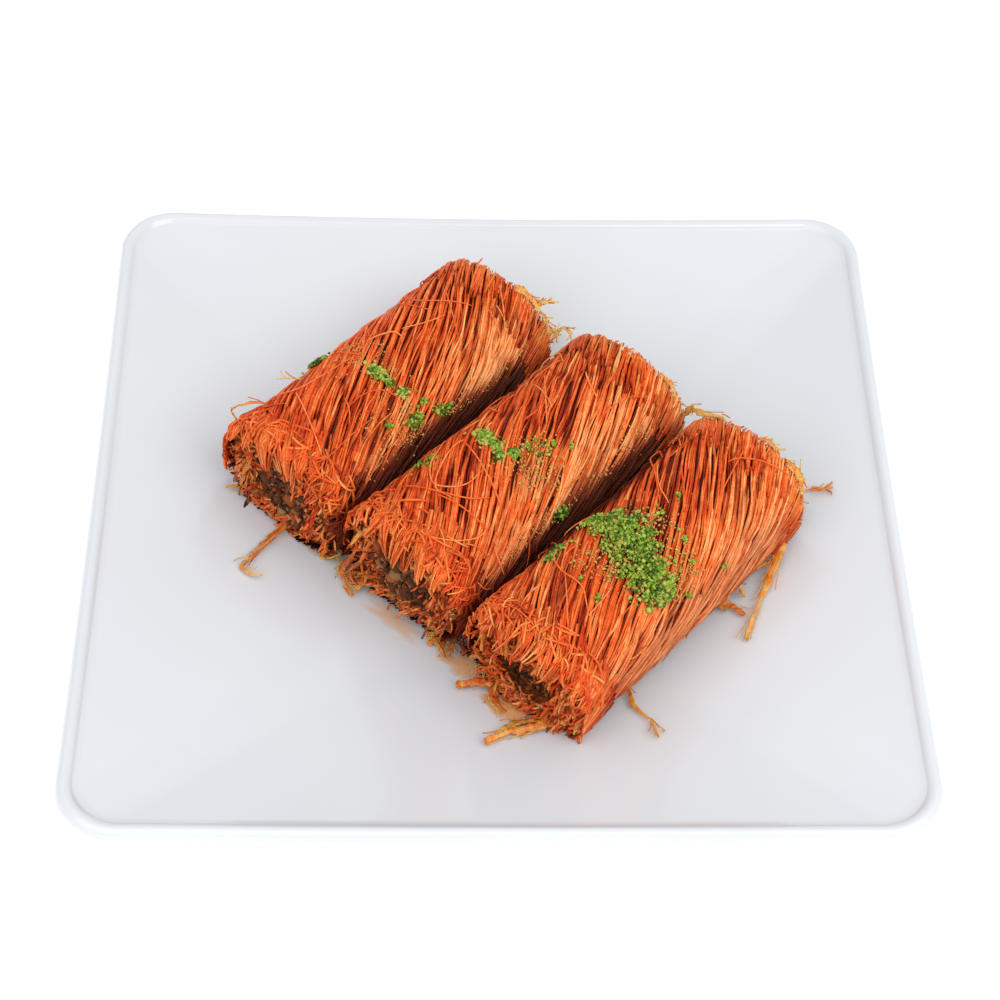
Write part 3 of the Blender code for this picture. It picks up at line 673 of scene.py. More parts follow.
def core_material():
    """What shows between the threads: dark syrup-soaked pastry, near black as painted shade in the gaps, and
    torn pastry on the cut faces.
    """
    s = Shader("soaked_pastry_painted_shade", 0.55, Specular_IOR_Level=0.12)
    # Painted shade: the dark sides make the gaps between the threads read dark
    side = s.ramp(s.noise(900, 4), ((0.3, (0.050, 0.008, 0.002)), (0.7, (0.19, 0.026, 0.006))))
    torn = s.ramp(s.noise(1100, 5, 0.7),
                  ((0.32, (0.055, 0.012, 0.004)), (0.5, (0.30, 0.065, 0.014)), (0.66, (0.62, 0.19, 0.045))))
    s.link(s.mix(s.value("torn"), side, torn), "Base Color")
    s.bump(s.noise(1300, 5, 0.7), 1.0, 0.0009)
    return s.material


def filling_material():
    """Ground nuts in syrup: near black, with red-brown, grey-olive and a few salmon bits, and painted shade
    that darkens the hollows.
    """
    s = Shader("ground_nuts", 0.35, Specular_IOR_Level=0.14, Subsurface_Weight=0.08, Subsurface_Scale=0.002,
               Subsurface_Radius=(1.0, 0.5, 0.25))
    colour = s.ramp(s.grained("tone", (900, 3, 0.3)),
                    ((0.0, (0.030, 0.009, 0.004)), (0.3, (0.15, 0.038, 0.010)), (0.5, (0.36, 0.090, 0.022)),
                     (0.68, (0.26, 0.13, 0.045)), (0.82, (0.42, 0.23, 0.09)), (1.0, (0.74, 0.21, 0.080))))
    s.link(colour, "Base Color")
    s.rough(1500, 2, 0.18, 0.60)
    s.bump(s.noise(3000, 3), 0.6, 0.0003)
    return s.material


def crumb_material():
    """Ground pistachio: fresh yellow-green, with paler and browner crumbs."""
    s = Shader("pistachio", 0.6, Specular_IOR_Level=0.3)
    colour = s.ramp(s.grained("tone", (1800, 2, 0.5)),
                    ((0.0, (0.030, 0.055, 0.004)), (0.25, (0.115, 0.20, 0.010)), (0.5, (0.25, 0.40, 0.026)),
                     (0.72, (0.42, 0.52, 0.080)), (0.86, (0.56, 0.40, 0.10)), (1.0, (0.66, 0.29, 0.085))))
    s.link(colour, "Base Color")
    s.bump(s.noise(4200, 3), 0.4, 0.0002)
    return s.material


def glaze_material():
    """White glazed china."""
    s = Shader("white_glaze", 0.16, Coat_Weight=0.4, Coat_Roughness=0.06)
    s.link(s.ramp(s.noise(18, 3), ((0.35, (0.665, 0.68, 0.70)), (0.65, (0.685, 0.70, 0.72)))), "Base Color")
    s.rough(60, 3, 0.14, 0.22)
    s.bump(s.noise(140, 3), 0.05, 0.0004)
    return s.material


# Plate

def square_ring(half, corner, side_steps=28, arc_steps=14):
    """Points round a square with round corners, its sides bowed in a little."""
    across = (half - corner) * (2 * np.arange(side_steps) / side_steps - 1)
    bow = SIDE_BOW * (half / PLATE_HALF) * (1 - (across / half) ** 2)
    angle = math.pi / 2 * np.arange(arc_steps) / arc_steps
    x = np.concatenate((half - bow, half - corner + corner * np.cos(angle)))
    y = np.concatenate((across, half - corner + corner * np.sin(angle)))
    return np.concatenate([np.stack(quarter, -1) for quarter in ((x, y), (-y, x), (-x, -y), (y, -x))])


def plate_profile():
    """Half side, corner radius and height of each ring, from the dish over the bead to the foot's recess."""
    halves = np.concatenate((np.linspace(3, 80, 34), np.linspace(82, 86.4, 4))) * MM
    dish = np.column_stack((halves, corner_of(halves), dish_curve(halves)))
    bead = smooth_path(np.vstack((dish[-1], np.array(BEAD) * MM)), 4 * len(BEAD) + 1, hold=True)[1:]
    halves = np.array((85, 82, 78, 74, 70, 66, 62, 58, 54)) * MM
    under = np.column_stack((halves, np.full(len(halves), 11 * MM), dish_curve(halves) - PLATE_WALL))
    return np.vstack((dish, bead, under, np.array(FOOT) * MM))


def build_plate(material):
    """The dish with its bead, underside and foot ring."""
    rows = plate_profile()
    rings = []
    for index, (half, corner, height) in enumerate(rows):
        ring = square_ring(half, corner)
        far, near = np.abs(ring).max(1), np.abs(ring).min(1)
        dip = side_dip(half, near, far) if index < len(rows) - len(FOOT) else 0.0
        rings.append(np.column_stack((ring, np.full(len(ring), height) - dip)))
    count = len(rings[0])
    verts = np.concatenate((*rings, ((0, 0, PLATE_FLOOR), (0, 0, RECESS_HEIGHT * MM))))
    ring = np.arange(count)
    last = (len(rows) - 1) * count
    caps = [fan(len(verts) - 2, ring), fan(len(verts) - 1, last + ring[::-1])]
    faces = [ring_faces(len(rows), count)[:, ::-1], *caps]
    show(make_mesh("square_plate", verts, faces, material, {}), "plate_glaze", "plate")


# Rolls

def core_face(roll, rim, along, around, rough):
    """Rings of a cut face of the core, from inside its rim to the hole."""
    ring = roll.hole(np.full(len(around), along), np.interp(around, roll.arc, roll.turn))
    rows = [rim + (ring - rim) * share + roll.axis * 0.5 * MM * rough(share * 9, around / (1.4 * MM))[:, None]
            for share in np.linspace(0, 1, 7)[1:-1]]
    return [*rows, ring]


def build_core(roll, material):
    """The body under the threads, with its hole."""
    steps, count = 52, 96
    around = np.linspace(roll.arc[0], roll.arc[-1], count, endpoint=False)
    rough = Field(roll.seed("core"))
    left, right = 0.5 * MM, roll.length + 0.3 * MM
    rows = []
    for along in np.linspace(left, right, steps):
        here = np.full(count, along)
        near_end = min(along - left, right - along)
        out = -CORE_DEPTH + roll.lump(here, around)
        out = out + 0.25 * MM * rough(along / (1.2 * MM) + 90, around / (1.2 * MM) + 90)
        out = out - 0.4 * MM * (1 - min(near_end / (1.5 * MM), 1.0)) ** 2
        rows.append(roll.place(here, around, out, CLEAR + 0.2 * MM)[0])
    left_face = core_face(roll, rows[0], left, around, rough)
    right_face = core_face(roll, rows[-1], right, around, rough)
    rings = left_face[::-1] + rows + right_face
    k = np.arange(count)
    ahead = np.roll(k, -1)
    last = (len(rings) - 1) * count
    faces = [ring_faces(len(rings), count), np.stack((last + k, last + ahead, ahead, k), -1)]
    torn = np.ones(len(rings))
    torn[len(left_face) + 1:-len(right_face) - 1] = 0.0
    values = {"torn": np.repeat(torn, count)}
    core = make_mesh(roll.name + "_core", np.concatenate(rings), faces, material, values)
    show(core, "pastry_threads", roll.name + "_wrap")


def lay_lines(roll, pitch, shift):
    """Evenly spaced lines along the lay of the threads, from the right end to the left: along and around."""
    count = int(round(roll.girth * math.sin(THREAD_LEAN) / pitch))
    along = np.linspace(roll.length + 3 * MM, -3 * MM, LINE_STEPS)
    flow = Field(roll.seed("lay"), 4)
    around = np.empty((count, LINE_STEPS))
    around[:, 0] = roll.arc[0] + roll.girth * (np.arange(count) + shift) / count
    for k in range(LINE_STEPS - 1):
        share = 4 * (around[:, k] - roll.arc[0]) / roll.girth
        lean = THREAD_LEAN + math.radians(7) * flow(along[k] / (22 * MM), share)
        around[:, k + 1] = around[:, k] + (along[k] - along[k + 1]) / np.tan(lean)
    return along, around


def locks(roll, along, around):
    """How the threads lie in locks: phase across a lock, groove, parting, and push away from a parting."""
    across_lay = around * math.sin(THREAD_LEAN) + along * math.cos(THREAD_LEAN)
    along_lay = along * math.sin(THREAD_LEAN) - around * math.cos(THREAD_LEAN)

    def pattern(use, across_size, along_size, shift):
        field = Field(roll.seed(use))
        return field(across_lay / (across_size * MM) + shift, along_lay / (along_size * MM) + shift)

    phase = 2 * math.pi * (across_lay / LOCK_PITCH + 1.1 * pattern("locks", 7, 26, 40))
    groove = pattern("grooves", 1.5, 20, 50)
    parting = pattern("partings", 2.3, 15, 60)
    push = np.tanh(parting / 0.2) * np.exp(-(parting / 0.5) ** 2)
    return phase, groove, np.exp(-(parting / 0.17) ** 2), push


def thread_paths(roll, rng, pitch, pieces, steps, height, relief, length, lean_spread):
    """Paths of a layer of threads: their place along, around and out, and how deep each lies."""
    line_along, line_around = lay_lines(roll, pitch * MM, rng.uniform())
    line = np.repeat(np.arange(len(line_around)), pieces)
    count = len(line)
    mid = (np.tile(np.arange(pieces), len(line_around)) + rng.uniform(0.1, 0.9, count)) / pieces * roll.length
    half = rng.uniform(*length, count) / 2 * MM
    low = np.maximum(mid - half, -rng.uniform(0.0, 1.4, count) * MM)
    high = np.minimum(mid + half, roll.length + rng.uniform(0.2, 2.2, count) * MM)
    along = high[:, None] - (high - low)[:, None] * np.linspace(0, 1, steps)[None]
    place = (line_along[0] - along) / (line_along[0] - line_along[1])
    k = np.clip(place.astype(int), 0, LINE_STEPS - 2)
    around = line_around[line[:, None], k] * (1 - place + k) + line_around[line[:, None], k + 1] * (place - k)
    own = rng.normal(0, math.radians(lean_spread), count)
    own = np.where(rng.uniform(0, 1, count) < ODD_THREADS, rng.normal(0, math.radians(10), count), own)
    around = around + own[:, None] * (mid[:, None] - along) / math.sin(THREAD_LEAN) ** 2
    around = around + rng.normal(0, 0.14 * MM, (count, 1))
    phase, groove, slit, push = locks(roll, along, around)
    around = around - 0.22 * MM * np.sin(phase) + 0.24 * MM * push
    around = around + rng.uniform(0.03, 0.13, (count, 1)) * MM * ripple(rng, along, 2.5, 6.0)
    crinkle = min(1.0, 45 / length[1]) * MM
    around = around + crinkle * rng.uniform(0.02, 0.09, (count, 1)) * ripple(rng, along, 0.6, 1.3)
    out = height * MM + relief * (0.17 * np.cos(phase) + 0.24 * groove - 0.44 * slit) * MM
    out = out + rng.normal(0, 0.07, (count, 1)) * MM
    out = out + 0.10 * MM * ripple(rng, along, 2.0, 5.0)
    # Painted shade: deep threads and partings get a low depth value
    depth = np.clip((out + 1.25 * MM) / (1.6 * MM) - 0.15 * slit, 0, 1)
    return along, around, out + roll.lump(along, around), depth


def bend_ends(roll, along, out, droop):
    """Threads past a cut end turn in over it."""
    past = np.maximum(-along, 0) + np.maximum(along - roll.length, 0)
    return out - droop * past - 40 * past ** 2


def soak_and_shade_share(roll, along, turn):
    """How far the sides of a roll that face its neighbours are darkened: partly soaked with syrup and partly
    painted shade.
    """
    far_along = along / roll.length
    if roll.number == 1:
        start = np.interp(far_along, (0.1, 0.35, 0.6, 0.8), (55, 48, 49, 58))
        right = step_between(turn - start, 0, 23) * (1 - 0.6 * step_between(far_along, 0.88, 1.0))
        left = 0.4 * step_between(-turn, 84, 110)
    elif roll.number == 2:
        start = np.interp(far_along, (0.1, 0.35, 0.7), (64, 56, 52))
        right = step_between(turn - start, 0, 25) * (1 - 0.5 * step_between(far_along, 0.9, 1.0))
        left = np.maximum(0.9 * step_between(-turn, 57, 80), 0.38 * step_between(-turn, 34, 56))
    else:
        right = 0.5 * step_between(turn, 98, 120)
        left = step_between(-turn - 9 * step_between(far_along, 0.55, 0.85), 34, 52)
        left = np.maximum(left * step_between(far_along, 0.18, 0.34), 0.9 * step_between(-turn, 74, 92))
    return np.maximum(right, left)


def painted_light_share(roll, far_along, turn):
    """How far painted light makes the right shoulder of a roll paler."""
    painted_light = step_between(turn, 10, 38) * (1 - 0.9 * step_between(turn, 58, 76))
    if roll.number == 1:
        painted_light = painted_light * np.interp(far_along, (0.2, 0.45, 0.7), (0.8, 0.6, 1.6))
        return painted_light + 0.3 * step_between(far_along, 0.55, 0.8)
    if roll.number == 2:
        return painted_light * np.interp(far_along, (0.2, 0.7), (0.9, 1.3))
    return np.maximum(painted_light, 0.3 * (1 - step_between(far_along, 0.15, 0.35)))


def thread_values(roll, rng, along, around, depth, light):
    """Tone, tan, amber and depth of each point of the threads, with painted light on the right shoulders,
    painted shade where they lie deep, and darker sides that face a neighbour, partly soaked and partly
    painted shade.
    """
    count = len(along)
    turn = roll.turn_at(around)
    far_along = along / roll.length
    # Painted light: the right shoulders get a lighter tone and less painted shade
    painted_light = painted_light_share(roll, far_along, turn)
    # Painted shade also darkens the tone of deep threads
    tone = rng.normal(light, 0.12, (count, 1)) + 0.14 * (depth - 0.6) + 0.19 * painted_light
    tone = tone + 0.05 * step_between(far_along, 0.6, 1.0) - 0.11 * (1 - step_between(far_along, 0.0, 0.35))
    tan = np.clip(step_between(turn, 46, 80) * 0.85 + step_between(-turn, 80, 125) * 0.7, 0, 1)
    tan = tan * (0.75 + 0.25 * rng.uniform(-1, 1, (count, 1)))
    # Soaked syrup and painted shade darken the sides that face a neighbour
    depth = np.minimum(depth + 0.13 * painted_light, 1) * (1 - 0.93 * soak_and_shade_share(roll, along, turn))
    right_end = step_between(along, roll.length - 2.5 * MM, roll.length + 1.5 * MM)
    amber = right_end * rng.uniform(0, 0.75, (count, 1))
    return {"tone": np.clip(tone, 0, 1), "tan": tan, "amber": amber, "depth": depth}


def build_threads(roll, material):
    """The threads that cover a roll, in four layers."""
    rng = roll.draws("threads")
    parts = []
    for *layout, light in THREAD_LAYERS:
        along, around, out, depth = thread_paths(roll, rng, *layout)
        count, steps = along.shape
        height = layout[3]
        share = np.linspace(0, 1, steps)[None]
        inside = (along > 2 * MM) & (along < roll.length - 2 * MM)
        tuck = np.maximum(0, 1 - np.minimum(share, 1 - share) / 0.09) ** 2
        loose = (rng.uniform(0, 1, (count, 1)) < LOOSE_ENDS) & (height > -0.3)
        loose = loose & (np.abs(roll.turn_at(around[:, :1])) < 75)
        out = bend_ends(roll, along, out, 0.55)
        out = out + MM * tuck * inside * np.where(loose, rng.uniform(0.3, 1.0, (count, 1)), -0.5)
        points, normals = roll.place(along, around, out)
        radius = THREAD_RADIUS * rng.uniform(0.80, 1.15, (count, 1)) * (1 - 0.45 * np.abs(2 * share - 1) ** 8)
        rings = tube_rings(points, normals, radius, 3 if height < -0.8 else 4)
        parts.append(swept(rings, **thread_values(roll, rng, along, around, depth, light)))
    show(join(roll.name + "_threads", parts, material), "pastry_threads", roll.name + "_wrap")


def hanging_threads(roll, rng, count, steps, reach, end):
    """Paths of threads that run off a roll's end and hang over it in tufts, and where each leaves the top."""
    way = 1 if end else -1
    first = roll.round(rng.uniform(-115, 125, count))
    start = rng.uniform(3, 10, count) * MM
    lean = THREAD_LEAN + rng.normal(0, math.radians(4), count)
    edge = start / np.sin(lean)
    leaves = roll.turn_at(first + edge * np.cos(lean))
    tuft = np.floor(first / (2.0 * MM)).astype(int)
    tuft -= tuft.min()
    tufts = tuft.max() + 1
    tuft_reach = rng.uniform(*reach, tufts) * MM
    shorter = 1 - 0.85 * step_between(np.abs(leaves - 8), 22, 72)
    own_reach = tuft_reach[tuft] * rng.uniform(0.5, 1.1, count) * shorter
    step = (edge + own_reach) / (steps - 1)
    bend = rng.uniform(0.20, 0.55, tufts)[tuft][:, None] * rng.uniform(0.8, 1.2, (count, 1))
    drift = rng.normal(0, 0.16, tufts)[tuft][:, None] * roll.side
    out = rng.uniform(-0.15, 0.35, count) * MM
    points = np.empty((count, steps, 3))
    for k in range(steps):
        gone = step * k
        inwards = start - gone * np.sin(lean)
        along = roll.length - inwards if end else inwards
        surface = roll.place(along, first - way * gone * np.cos(lean), out)[0]
        if k == 0:
            points[:, 0] = surface
            continue
        last = points[:, k - 1]
        ahead = unit(last - points[:, k - 2]) if k > 1 else unit(surface - last)
        past = way * ((last - roll.left) @ roll.axis - (roll.length if end else 0.0))
        push = np.clip((0.5 * MM - past) / (0.8 * MM), 0, 1)[:, None] * 0.5
        ahead = unit(ahead * (1 - bend) - UP * bend + roll.axis * way * push + drift)
        free = last + ahead * step[:, None]
        points[:, k] = np.where((inwards > 0)[:, None], surface, free)
    sums = np.zeros((tufts, steps, 3))
    np.add.at(sums, tuft, points)
    sums /= np.maximum(np.bincount(tuft, minlength=tufts), 1)[:, None, None]
    points += (sums[tuft] - points) * 0.65 * np.linspace(0, 1, steps)[None, :, None] ** 2
    keep_above_dish(points)
    return points, leaves


def curled(along, around, heading, bend, length, steps):
    """Paths of threads that start at places on a roll and curl away."""
    angle = heading[:, None] + (bend * length)[:, None] * np.linspace(0, 1, steps)[None]
    step = (length / (steps - 1))[:, None]
    along = along[:, None] - np.cumsum(np.sin(angle) * step, 1)
    return along, around[:, None] + np.cumsum(np.cos(angle) * step, 1)


def rim_tangle(roll, rng):
    """Short loose threads that cross each other at the top of the left cut end."""
    count, steps = 170, 9
    t = np.linspace(0, 1, steps)[None]
    heading = THREAD_LEAN + rng.normal(0, 0.75, count)
    length = rng.uniform(2.5, 7.5, count) * MM
    bend = rng.normal(0, 0.12, count) / MM
    start = rng.uniform(0.5, 6.5, count) * MM
    along, around = curled(start, roll.round(rng.uniform(-95, 85, count)), heading, bend, length, steps)
    along = np.clip(along, -2.2 * MM, None)
    lift = rng.uniform(0.1, 0.9, (count, 1)) * MM * np.sin(math.pi * t) ** 0.7
    out = bend_ends(roll, along, roll.lump(along, around) + 0.1 * MM + lift, 0.7)
    radius = rng.uniform(0.17, 0.34, (count, 1)) * MM * (1 - 0.4 * np.abs(2 * t - 1) ** 4)
    # Soaked syrup and painted shade darken the threads on the sides that face a neighbour
    soaked = soak_and_shade_share(roll, along, roll.turn_at(around))
    rings = tube_rings(*roll.place(along, around, out), radius)
    return swept(rings, tone=shares(rng, 0.44, 0.15, count), tan=shares(rng, 0.0, 0.15, count),
                 amber=shares(rng, 0.0, 0.28, count), depth=1 - 0.85 * soaked)


def build_fringes(roll, material):
    """Threads that hang over the cut ends."""
    rng = roll.draws("fringes")
    parts = [rim_tangle(roll, rng)]
    ends = ((0, 270, 12, HANG_REACH[roll.name], 0.22), (1, 200, 9, (0.6, 2.6), 0.4))
    for end, count, steps, reach, amber_rise in ends:
        share = np.linspace(0, 1, steps)[None]
        points, leaves = hanging_threads(roll, rng, count, steps, reach, end)
        normals = np.broadcast_to(roll.axis * (1 if end else -1) + 0.6 * UP, points.shape)
        radius = rng.uniform(0.24, 0.36, (count, 1)) * MM * (1 - 0.5 * share ** 3)
        tone = np.clip(rng.normal(0.40, 0.18, (count, 1)) + 0.10 * share, 0, 1)
        amber = np.clip(rng.normal(-0.05, 0.25, (count, 1)) + amber_rise * share, 0, 1)
        # Soaked syrup and painted shade darken the threads on the sides that face a neighbour
        soaked = soak_and_shade_share(roll, np.full(count, roll.length * end), leaves)
        # Painted shade: the hanging threads are darker at their roots
        depth = (0.62 + 0.38 * share) * (1 - 0.8 * soaked[:, None])
        parts.append(swept(tube_rings(points, normals, radius), tone=tone, amber=amber,
                           tan=shares(rng, 0.0, 0.15, count), depth=depth))
    show(join(roll.name + "_fringes", parts, material), "pastry_threads", roll.name + "_wrap")


def build_cut_ends(roll, material):
    """Torn threads that cover the faces between the filling and the outside."""
    rng = roll.draws("cut_ends")
    t = np.linspace(0, 1, 5)[None]
    parts = []
    for end, count, inward in ((0, 410, 1.32), (1, 440, 1.15)):
        outwards = roll.axis * (1 if end else -1)
        around = rng.uniform(roll.arc[0], roll.arc[-1], count)
        turn = np.interp(around, roll.arc, roll.turn)
        share = rng.uniform(0, inward, count) ** 0.9
        plane = np.full(count, roll.length if end else 0.0)
        outer = roll.place(plane, around, np.full(count, -1.1 * MM))[0]
        centre = outer + (roll.hole(plane, turn) - outer) * share[:, None]
        centre = centre + outwards * rng.uniform(-0.9, 0.3, (count, 1)) * MM
        radial = unit(centre - roll.hole(plane, turn, np.zeros(count)))
        angle = rng.normal(0, 0.7, (count, 1))
        lying = np.cross(roll.axis, radial) * np.cos(angle) + radial * np.sin(angle)
        stands = rng.uniform(0, 1, (count, 1)) < 0.42
        heading = unit(lying + outwards * np.where(stands, rng.uniform(0.8, 2.5, (count, 1)), 0.15))
        length = np.where(stands, rng.uniform(1.5, 3.2, (count, 1)), rng.uniform(1.6, 4.5, (count, 1))) * MM
        curl = np.cross(heading, radial) * rng.normal(0, 0.22, (count, 1))
        points = centre[:, None] + heading[:, None] * (np.where(stands, t, t - 0.5) * length)[..., None]
        points = points + curl[:, None] * (length * (t - 0.5) ** 2 * 4)[..., None]
        points = points + outwards * (0.5 * MM * np.sin(math.pi * t) * ~stands)[..., None]
        keep_above_dish(points)
        normals = np.broadcast_to(outwards + 0.7 * radial[:, None], points.shape)
        radius = rng.uniform(0.22, 0.44, (count, 1)) * MM * (1 - 0.4 * np.abs(2 * t - 1) ** 3)
        # Painted shade: the torn threads are darker towards the hole and low on the face
        low = step_between(np.abs(np.degrees(turn)), 60, 150)
        parts.append(swept(tube_rings(points, normals, radius), tone=shares(rng, 0.52, 0.2, count),
                           tan=shares(rng, 0.04, 0.2, count), amber=shares(rng, 0.05, 0.3, count),
                           depth=np.clip(rng.normal(0.92, 0.22, count) - 0.12 * share - 0.06 * low, 0.05, 1)))
    show(join(roll.name + "_cut_ends", parts, material), "pastry_threads", roll.name + "_wrap")


def build_strays(roll, material):
    """Threads that stand off the surface: the large ones as placed, and small random curls."""
    rng = roll.draws("strays")
    steps, curls = 24, 13
    t = np.linspace(0, 1, steps)
    raised, strays = RAISED_THREADS[roll.name], STRAYS[roll.name]
    routes = [np.stack((first + (last - first) * t, turn + (last_turn - turn) * t), -1)
              for first, turn, last, last_turn, _ in raised]
    routes = np.array(routes + [smooth_path(route, steps) for route in strays])
    lift = [row[-1] for row in raised] + [STRAY_LIFT] * len(strays)
    heading = THREAD_LEAN + np.radians(rng.uniform(10, 50, curls) * rng.choice((-1, 1), curls))
    bend = rng.uniform(-0.13, 0.13, curls) / MM
    length = rng.uniform(4, 11, curls) * MM
    start = rng.uniform(3, 68, curls) * MM
    small = curled(start, roll.round(rng.uniform(-80, 70, curls)), heading, bend, length, steps)
    along = np.concatenate((routes[..., 0] * MM, small[0]))
    around = np.concatenate((roll.round(routes[..., 1]), small[1]))
    lift = np.concatenate((lift, rng.uniform(0.35, 0.7, curls)))[:, None] * MM
    count = len(along)
    out = roll.lump(along, around) + lift * np.sin(math.pi * t) ** 0.5 + 0.05 * MM
    radius = rng.uniform(0.14, 0.20, (count, 1)) * MM * (1 - 0.4 * np.abs(2 * t - 1) ** 6)
    part = swept(tube_rings(*roll.place(along, around, out), radius), tone=shares(rng, 0.60, 0.14, count),
                 tan=np.zeros(count), amber=shares(rng, 0.05, 0.2, count), depth=np.ones(count))
    show(join(roll.name + "_strays", [part], material), "pastry_threads", roll.name + "_wrap")


# Strips, films and syrup

def strip_frame(path, rng):
    """Directions across a strip and out of it, as it rolls over a little along its way."""
    t = np.linspace(0, 1, path.shape[1])
    up = np.array((0.25 * rng.normal(), 0.25 * rng.normal(), 1.0))
    roll_over = (rng.uniform(-0.5, 0.5) + 0.5 * np.sin(t * rng.uniform(3, 7)))[:, None]
    across, normals = path_sides(path, up)
    return across, normals * np.cos(roll_over) + across * np.sin(roll_over)


def frays(rng, path, across, width, number):
    """Threads that follow a strip for a while and then turn off to a side."""
    s = np.linspace(0, 1, 8)[None]
    share = np.clip(rng.uniform(0, 0.85, (number, 1)) + rng.uniform(0.12, 0.32, (number, 1)) * s, 0, 1)
    place = share * (len(path) - 1)
    k = np.minimum(place.astype(int), len(path) - 2)
    t = (place - k)[..., None]
    way = rng.choice((-1, 1), (number, 1))
    off = way * (0.4 * width + rng.uniform(0.1, 1.5, (number, 1)) * MM * s ** 2)
    lift = rng.uniform(-0.2, 0.8, (number, 1)) * MM * s
    return path[k] * (1 - t) + path[k + 1] * t + across[k] * off[..., None] + UP * lift[..., None]


def strip_parts(rng, width, thick, route, tone_low, tone_high):
    """A soaked film along a path, with frays at its sides."""
    steps = 28
    t = np.linspace(0, 1, steps)
    path = smooth_path(route, steps)[None]
    across, normals = strip_frame(path, rng)
    taper = (0.55 + 0.45 * np.sin(math.pi * np.clip(t * 1.15 + 0.12, 0, 1))) * (1 - 0.35 * t ** 3)
    bulge = 1 + 0.22 * np.sin(t * rng.uniform(12, 22) + rng.uniform(0, 6))
    film = film_rings(rng, path, normals, width * MM * taper * bulge, thick * MM * 0.5, 5, 0.5, 0.13)
    tone = np.clip(tone_low + (tone_high - tone_low) * t + 0.10 * rng.normal(size=(1, steps)), 0, 1)
    number = 9 if width > 0.6 else 2
    threads = frays(rng, path[0], across[0], width * MM, number)
    threads = tube_rings(threads, np.broadcast_to(UP, threads.shape), rng.uniform(0.11, 0.18) * MM)
    return [swept(film, tone=tone), swept(threads, tone=rng.uniform(0.3, 1.0, number))]


def wad_parts(rng, centre, radii, tone, number):
    """A tangle of short soaked threads and films inside an oval."""
    s = np.linspace(0, 1, 10)[None]
    parts = []
    for count, film in ((number, False), (max(number // 4, 3), True)):
        first, second = unit(rng.normal(size=(2, count, 3)))
        angle = rng.uniform(0, 2 * math.pi, (count, 1)) + rng.uniform(1.0, 3.2, (count, 1)) * s
        reach = rng.uniform(0.35, 1.0, (count, 1))
        east, north = (reach * np.cos(angle))[..., None], (reach * np.sin(angle))[..., None]
        points = first[:, None] * east + second[:, None] * north
        points = centre + points * radii + rng.normal(0, 0.15, (count, 1, 3)) * radii
        points = points + 0.1 * MM * rng.normal(size=points.shape)
        normals = np.broadcast_to(unit(np.cross(first, second))[:, None], points.shape)
        if film:
            rings = film_rings(rng, points, normals, rng.uniform(0.8, 1.9, (count, 1)) * MM, 0.22 * MM)
        else:
            rings = tube_rings(points, normals, rng.uniform(0.14, 0.26, (count, 1)) * MM)
        parts.append(swept(rings, tone=shares(rng, tone, 0.14, count)))
    return parts


def face_films(roll, rng):
    """Torn films that stick out of the left cut end."""
    count = 16
    t = np.linspace(0, 1, 8)[None]
    around = roll.round(rng.uniform(-150, 150, count))
    plane = np.zeros(count)
    outer = roll.place(plane, around, np.full(count, -0.8 * MM))[0]
    hole = roll.hole(plane, np.interp(around, roll.arc, roll.turn))
    root = outer + (hole - outer) * rng.uniform(0.05, 0.9, (count, 1))
    heading = unit(-UP * rng.uniform(0.2, 1.0, (count, 1)) + roll.side * rng.normal(0, 0.5, (count, 1))
                   - roll.axis * rng.uniform(0.3, 1.2, (count, 1)))
    length = rng.uniform(2.0, 4.6, (count, 1)) * MM
    sag = UP * (0.35 * length * t ** 2)[..., None]
    points = root[:, None] + heading[:, None] * (length * t)[..., None] - sag
    normals = np.broadcast_to(unit(rng.normal(size=(count, 1, 3)) * 0.5 - roll.axis), points.shape)
    width = rng.uniform(0.6, 1.7, (count, 1)) * MM * (1 - 0.6 * t ** 2)
    return swept(film_rings(rng, points, normals, width, 0.2 * MM), tone=shares(rng, 0.40, 0.17, count))


def build_strips(rolls, material):
    """Soaked strips of pastry on the plate, the loose one, torn films at the ends and wisps in the air."""
    rng = np.random.default_rng(SEEDS["strips"])
    lots = {}
    for rows, rise in ((SHREDS, 0.4), (FOOT_FILMS, 0.3), (WISPS, None)):
        for owner, width, thick, low, high, route in rows:
            route = np.array(route) * MM
            if rise:
                route[:, 2] += dish_height(route[:, 0], route[:, 1]) + rise * MM
            lots.setdefault(owner, []).extend(strip_parts(rng, width, thick, route, low, high))
    for owner, centre, radii, tone, number in WADS:
        centre = np.array(centre) * MM
        centre[2] += dish_height(centre[0], centre[1])
        lots[owner].extend(wad_parts(rng, centre, np.array(radii) * MM, tone, number))
    for roll in rolls:
        for width, route in EDGE_FILMS[roll.name]:
            route = np.array(route)
            points = roll.place(route[:, 0] * MM, roll.round(route[:, 1]), 0.3 * MM)[0]
            lots[roll.name].extend(strip_parts(rng, width, 0.4, points, 0.50, 0.72))
        lots[roll.name].append(face_films(roll, rng))
    for owner, parts in lots.items():
        for verts, _, _ in parts:
            keep_above_dish(verts, STRIP_CLEAR)
        node = owner if owner == "loose_shred" else owner + "_wrap"
        show(join(owner + "_strips", parts, material), "pastry_threads", node)


